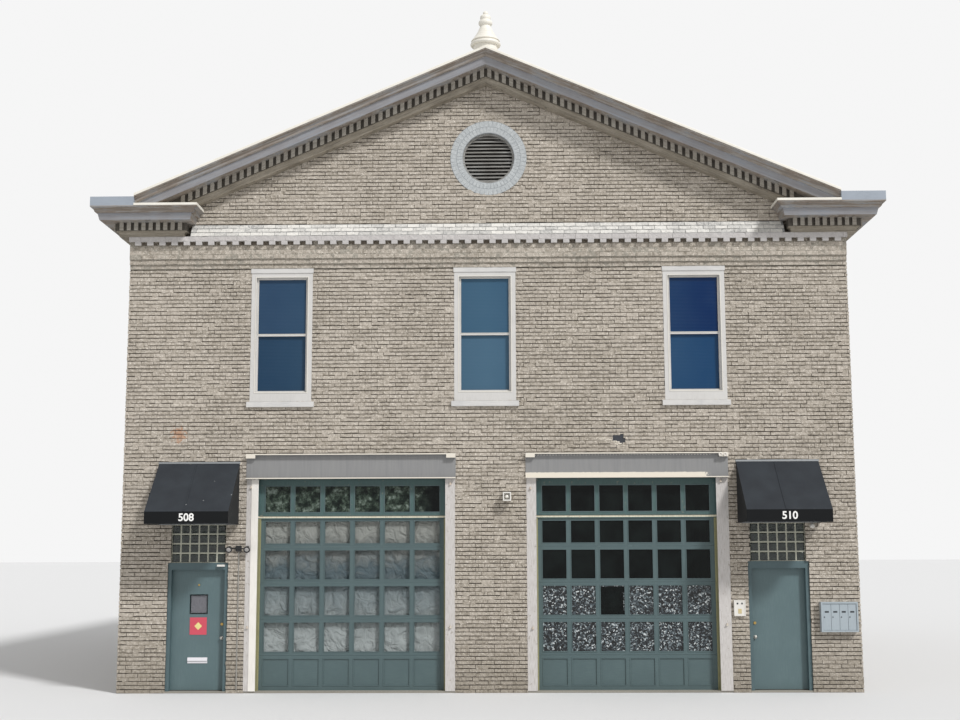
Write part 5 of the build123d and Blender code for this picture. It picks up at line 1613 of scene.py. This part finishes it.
@dataclass
class Entrances:
    """The glass blocks over the doors, and the plate and notice of the left door."""

    block_columns: int = 6
    block_rows: int = 4
    block_joint: float = 0.026
    plate: tuple[float, float, float] = (-4.980, 1.114, 0.146)

    def glass_blocks(self) -> Piece:
        """Model one pillowed glass block and copy it over both doors.

        Returns:
            The joined blocks.
        """
        wide = BLOCK_WIDE / self.block_columns
        high = (ENTRANCE_HEAD - BLOCK_FOOT) / self.block_rows
        half_w, half_h = (wide - self.block_joint) / 2, (high - self.block_joint) / 2
        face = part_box("glass_block_panels")[0].y
        model = block("glass", (-half_w, face - 0.004, -half_h), (half_w, face + 0.004, half_h))
        with edited(model, lambda centre, normal: normal.y < -0.9):
            for band, out in ((0.014, -0.006), (0.02, 0.002)):
                bpy.ops.mesh.inset(thickness=band)
                bpy.ops.transform.translate(value=(0.0, out, 0.0))
        places = [Matrix.Translation((along - BLOCK_WIDE / 2 + wide * (column + 0.5), 0,
                                      BLOCK_FOOT + high * (row + 0.5)))
                  for along in ENTRANCES for column in range(self.block_columns) for row in range(self.block_rows)]
        return copies("glass_blocks", soften(model, 0.003), places)

    def door_plate(self) -> Piece:
        """Model the red plate's face over its board."""
        x, z, half = self.plate
        return soften(block("door_plate_face", (x - half, LEAF_FACE - 0.0055, z - half),
                            (x + half, LEAF_FACE - 0.0015, z + half)), 0.001)

    def diamond(self) -> Piece:
        """Model the plain diamond on the plate, as a shallow pyramid."""
        x, z, _ = self.plate
        return soften(settle(added("door_plate_diamond", bpy.ops.mesh.primitive_cone_add, vertices=4, radius1=0.075,
                                   radius2=0.02, depth=0.003, location=(x, LEAF_FACE - 0.0065, z),
                                   rotation=(math.pi / 2, 0, 0))), 0.0004, 1)

    def notice(self) -> Piece:
        """Model the curled paper behind the left door's pane.

        Returns:
            The paper.
        """
        low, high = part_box("left_door_lite")
        piece = block("door_notice", (low.x + 0.02, LEAF_FACE + 0.030, low.z + 0.02),
                      (high.x - 0.02, LEAF_FACE + 0.0306, high.z - 0.02))
        with edited(piece, lambda centre, normal: abs(normal.y) > 0.9):
            bpy.ops.mesh.subdivide(number_cuts=7)
        for vertex in piece.data.vertices:
            vertex.co.y += 0.002 * math.sin(60 * vertex.co.x) * math.cos(37 * vertex.co.z)
        return piece

    def build(self) -> None:
        """Build and dress the entrances' pieces."""
        dress(self.glass_blocks(), BLOCK_GLASS)
        dress(self.door_plate(), PLAQUE_RED, "left_door")
        dress(self.diamond(), PLAQUE_GOLD, "left_door")
        dress(self.notice(), NOTICE_PAPER, "left_door")


@dataclass
class Awnings:
    """The two canvas awnings over the entrances, with their hems, flashings and plain numbers."""

    fold: float = 3.045
    sag: float = 0.012
    seam: float = 0.022
    thickness: float = 0.002
    steps: tuple[int, int] = (24, 24)
    number_high: float = 0.175
    numbers: tuple[str, str] = ("508", "510")

    def canvas(self, node: str) -> Piece:
        """Model one awning's cloth as a single sheet over its slope, valance and sides.

        Args:
            node: the plain CAD node that it stands for.

        Returns:
            The cloth.
        """
        low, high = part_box(node)
        wide, deep, rise, drop = high.x - low.x, high.y - low.y, high.z - self.fold, self.fold - low.z

        def slope(across: float, down: float) -> Point:
            """Point on the slope, which sags a little between its pipes."""
            sag = self.sag * math.sin(math.pi * across) * math.sin(math.pi * down)
            return low.x + wide * across, high.y - deep * down + sag * 0.6, high.z - rise * down - sag * 0.8

        def valance(across: float, down: float) -> Point:
            """Point on the valance, whose free edge waves a little."""
            wave = 0.003 * math.sin(across * 19.0) * down
            return low.x + wide * across, low.y + 0.003 * down + wave, self.fold - drop * down

        def gable(x: float, inward: float, out: float, down: float) -> Point:
            """Point on a side panel, which is drawn in a little in its middle."""
            top = high.z - rise * out
            hollow = inward * math.sin(math.pi * out) * math.sin(math.pi * down)
            return x + hollow, high.y - deep * out, top - (top - low.z) * down

        places = (slope, valance, partial(gable, low.x, 0.010), partial(gable, high.x, -0.010))
        cloth = join(f"{node}_cloth", [bent_grid("part", self.steps, place) for place in places])
        with edited(cloth):
            bpy.ops.mesh.remove_doubles(threshold=0.004)
            bpy.ops.mesh.normals_make_consistent(inside=False)
        finished(cloth, "SOLIDIFY", thickness=self.thickness, offset=-1.0)
        bpy.ops.object.shade_smooth_by_angle(angle=math.radians(35))
        return cloth

    def hem(self, node: str) -> Piece:
        """Model the stitched hem round the foot and the lapped seam down the middle of one awning.

        Args:
            node: the awning's CAD node.

        Returns:
            The hem and the seam, joined.
        """
        low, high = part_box(node)
        edge = block("hem", (low.x - 0.001, low.y - 0.001, low.z), (high.x + 0.001, high.y, low.z + 0.022))
        middle = (low.x + high.x) / 2 - 0.06

        def lap(across: float, down: float) -> Point:
            """Point on the seam, a little over the sagging slope."""
            sag = self.sag * math.sin(math.pi * down)
            return (middle + self.seam * across, high.y - (high.y - low.y) * down - 0.004 + 0.6 * sag,
                    high.z - (high.z - self.fold) * down + 0.003 - 0.8 * sag)

        seam = finished(bent_grid("seam", self.steps, lap), "SOLIDIFY", thickness=0.0025)
        return join(f"{node}_hem", [soften(pierce(edge, 2, 0.004), 0.001, 1), seam])

    def flashing(self, node: str) -> Piece:
        """Model the metal bar that holds one awning's top edge to the wall.

        Args:
            node: the awning's CAD node.

        Returns:
            The bar.
        """
        low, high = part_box(node)
        piece = block(f"{node}_flashing", (low.x - 0.01, FRONT - 0.022, high.z - 0.012),
                      (high.x + 0.01, FRONT - 0.002, high.z + 0.022))
        with edited(piece, lambda centre, normal: normal.z > 0.9):
            bpy.ops.transform.translate(value=(0.0, 0.006, 0.0))
        return soften(piece, 0.003)

    def number(self, node: str, words: str) -> Piece:
        """Model a plain street number on one valance.

        Args:
            node: the awning's CAD node.
            words: the digits.

        Returns:
            The number, as a mesh.
        """
        low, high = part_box(node)
        piece = added(f"{node}_number", bpy.ops.object.text_add, rotation=(math.pi / 2, 0, 0),
                      location=((low.x + high.x) / 2, low.y - 0.0005, (low.z + self.fold) / 2))
        for key, value in {"body": words, "size": self.number_high, "align_x": "CENTER", "align_y": "CENTER",
                           "offset": 0.004, "extrude": 0.0012}.items():
            setattr(piece.data, key, value)
        bpy.ops.object.convert(target="MESH")
        return settle(piece)

    def build(self) -> None:
        """Build and dress both awnings."""
        for node, words in zip(("left_awning_canvas", "right_awning_canvas"), self.numbers):
            low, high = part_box(node)
            cloth = dress(self.canvas(node), AWNING_CANVAS)
            hem = dress(self.hem(node), AWNING_CANVAS)
            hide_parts(node)
            dress(self.flashing(node), FLASHING)
            dress(self.number(node, words), NUMBER_VINYL)


@dataclass
class Fittings:
    """The small things on the front: mailbox slots and locks, the intercom's face, bulbs and lenses."""

    mailbox_doors: int = 4
    bulb: float = 0.034
    lens: float = 0.037
    lens_place: tuple[float, float, float] = (0.155, -9.2805, 2.4092)
    lens_tilt: float = 22.0

    def mailbox_faces(self) -> Piece:
        """Model the slot, a dark plate painted as the slot's shade, and the lock of a mailbox door, and copy them.

        Returns:
            The joined slots and locks.
        """
        low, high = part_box("mailboxes")
        wide = (high.x - low.x - 0.052) / self.mailbox_doors
        face = low.y + 0.013
        top = high.z - 0.3 * (high.z - low.z)
        middle = (low.z + high.z) / 2
        slot = soften(block("slot", (-0.034, face - 0.004, top - 0.027), (0.034, face + 0.001, top)), 0.002)
        lock = soften(block("lock", (-0.052, face - 0.006, middle - 0.010), (-0.034, face + 0.001, middle + 0.008)),
                      0.004, 3)
        places = [Matrix.Translation((low.x + 0.026 + wide * (number + 0.5), 0, 0))
                  for number in range(self.mailbox_doors)]
        return copies("mailbox_slots_and_locks", join("mailbox_slots", [slot, lock]), places)

    def intercom_face(self) -> list[tuple[Piece, Finish]]:
        """Model the intercom's two eyes and its button panel.

        Returns:
            Each piece with its finish.
        """
        low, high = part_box("intercom")
        face = low.y + 0.006
        middle = (low.x + high.x) / 2
        eyes = [soften(block("eye", (along - 0.014, face - 0.006, high.z - 0.072),
                             (along + 0.014, face + 0.001, high.z - 0.044)), 0.006, 3)
                for along in (middle - 0.038, middle + 0.038)]
        panel = soften(block("intercom_buttons", (middle - 0.030, face - 0.004, low.z + 0.040),
                             (middle + 0.030, face + 0.001, low.z + 0.120)), 0.003)
        return [(join("intercom_eyes", eyes), SLOT_SHADE_DARK_ENAMEL), (panel, YELLOWED_ABS)]

    def lamp_bulb(self) -> Piece:
        """Model the bulb in the square wall lamp, drawn out to its cap.

        Returns:
            The bulb.
        """
        low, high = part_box("wall_lamp")
        piece = ball("wall_lamp_bulb", (24, 14), self.bulb, ((low.x + high.x) / 2, low.y + 0.055,
                                                             (low.z + high.z) / 2))
        with edited(piece, lambda centre, normal: normal.y > 0.3):
            bpy.ops.transform.resize(value=(0.6, 1.0, 0.6))
            bpy.ops.transform.translate(value=(0.0, 0.022, 0.0))
        return piece

    def flood_lenses(self) -> Piece:
        """Model the lenses in the flood lamp's two heads.

        Returns:
            The joined lenses.
        """
        low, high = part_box("flood_lamp")
        apart, depth, up = self.lens_place
        tilt = math.pi / 2 + math.radians(self.lens_tilt)
        return join("flood_lamp_lenses", [
            ball("lens", (24, 12), self.lens, ((low.x + high.x) / 2 + side * apart, depth, up), tilt, (1.0, 1.0, 0.18))
            for side in (-1, 1)])

    def build(self) -> None:
        """Build and dress the small fittings."""
        dress(self.mailbox_faces(), SLOT_SHADE_DARK_ENAMEL)
        for piece, finish in self.intercom_face():
            dress(piece, finish)
        dress(self.lamp_bulb(), BULB_GLASS)
        dress(self.flood_lenses(), LENS_GLASS)


@dataclass
class Roofing:
    """Rolls of mineral felt laid along the slopes, each lapped over the one below."""

    rolls: int = 7
    thickness: float = 0.008
    lap: float = 0.08
    edge: float = 0.14

    def build(self) -> None:
        """Model one roll's width of felt and copy it up both slopes."""
        wide = (HALF_WIDE - self.edge) / math.cos(math.atan(PITCH)) / self.rolls
        model = block("felt", (0.0, -HALF_DEEP, 0.0), (wide + self.lap, HALF_DEEP, self.thickness))
        with edited(model, lambda centre, normal: normal.x > 0.9):
            bpy.ops.transform.translate(value=(0.0, 0.0, 0.010))
        slopes = [Matrix.Rotation(turn, 4, "Z") @ Matrix.Translation((0, 0, RIDGE + 0.0005))
                  @ Matrix.Rotation(math.atan(PITCH), 4, "Y") for turn in (0.0, math.pi)]
        places = [slope @ Matrix.Translation((self.edge + number * wide, 0, -0.001))
                  for slope in slopes for number in range(self.rolls)]
        dress(copies("felt_rolls", soften(model, 0.0015, 1), places), ROOF_FELT)


@dataclass
class Studio:
    """The pale floor, the soft light and the camera at the photograph's place."""

    sun_from: Point = (0.48, -0.52, 0.66)
    sun_power: float = 2.6
    sun_wide: float = 8.0
    sky_fill: float = 0.58
    sky_seen: float = 0.92
    lens: float = 50.56
    eye: Point = (0.287, -32.501, 2.453)
    # The camera's turns in degrees, in the order in which they follow each other.
    turns: tuple[tuple[float, str], ...] = ((1.005, "Z"), (97.873, "X"), (-0.187, "Z"))

    def floor(self) -> None:
        """Lay a pale floor that shows white to the camera and keeps the shadow."""
        ground = added("studio_floor", bpy.ops.mesh.primitive_plane_add, size=400.0, location=(0, 0, -0.002))
        made = bpy.data.materials.new("pale_studio_floor")
        add = blank(made)
        add("OutputMaterial", add("BsdfPrincipled", "#DADADA", Roughness=0.9))
        ground.data.materials.append(made)

    def sky(self) -> None:
        """Light the world evenly, near white where the camera, gloss or glass sees it."""
        bpy.context.scene.world = bpy.data.worlds.new("studio_sky")
        add = blank(bpy.context.scene.world)
        camera, gloss, glass = [add("LightPath", out=f"Is {ray} Ray") for ray in ("Camera", "Glossy", "Transmission")]
        seen = add("Math", add("Math", camera, gloss, operation="MAXIMUM"), glass, operation="MAXIMUM")
        power = add("MapRange", seen, To_Min=self.sky_fill, To_Max=self.sky_seen)
        add("OutputWorld", add("Background", "#FFFFFF", power))

    def sun(self) -> None:
        """Hang one broad soft lamp to the upper right of the front."""
        lamp = added("studio_sun", bpy.ops.object.light_add, type="SUN", location=(20, -25, 25))
        lamp.data.energy = self.sun_power
        lamp.data.angle = math.radians(self.sun_wide)
        lamp.rotation_euler = Vector(self.sun_from).to_track_quat("Z", "Y").to_euler()

    def camera(self) -> None:
        """Stand the camera where the photograph was taken from."""
        camera = added("photo_camera", bpy.ops.object.camera_add)
        camera.data.sensor_width = 36.0
        camera.data.lens = self.lens
        camera.data.clip_end = 500.0
        stand = Matrix.Translation(self.eye)
        for degrees, axis in self.turns:
            stand = stand @ Matrix.Rotation(math.radians(degrees), 4, axis)
        camera.matrix_world = stand
        bpy.context.scene.camera = camera

    def build(self) -> None:
        """Set up the floor, the light and the camera."""
        self.floor()
        self.sky()
        self.sun()
        self.camera()
        bpy.context.scene.view_settings.view_transform = "Standard"


def finish_nodes() -> None:
    """Give each CAD node its finish."""
    for finish, names in NODE_FINISHES.items():
        for name in names:
            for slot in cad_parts[name].material_slots:
                slot.material = finish.material()
            LOG.info("%s: %s", name, finish.name)


def main() -> None:
    """Build the scene, from the CAD nodes' finishes to the studio."""
    logging.basicConfig(level=logging.INFO, format="%(name)s %(message)s")
    finish_nodes()
    for part in (Masonry(), Windows(), GarageDoors(), GarageHeads(), Entrances(), Awnings(), Fittings(),
                 Roofing(), Studio()):
        part.build()
        LOG.info("built %s", type(part).__name__)


if __name__ == "__main__":
    main()
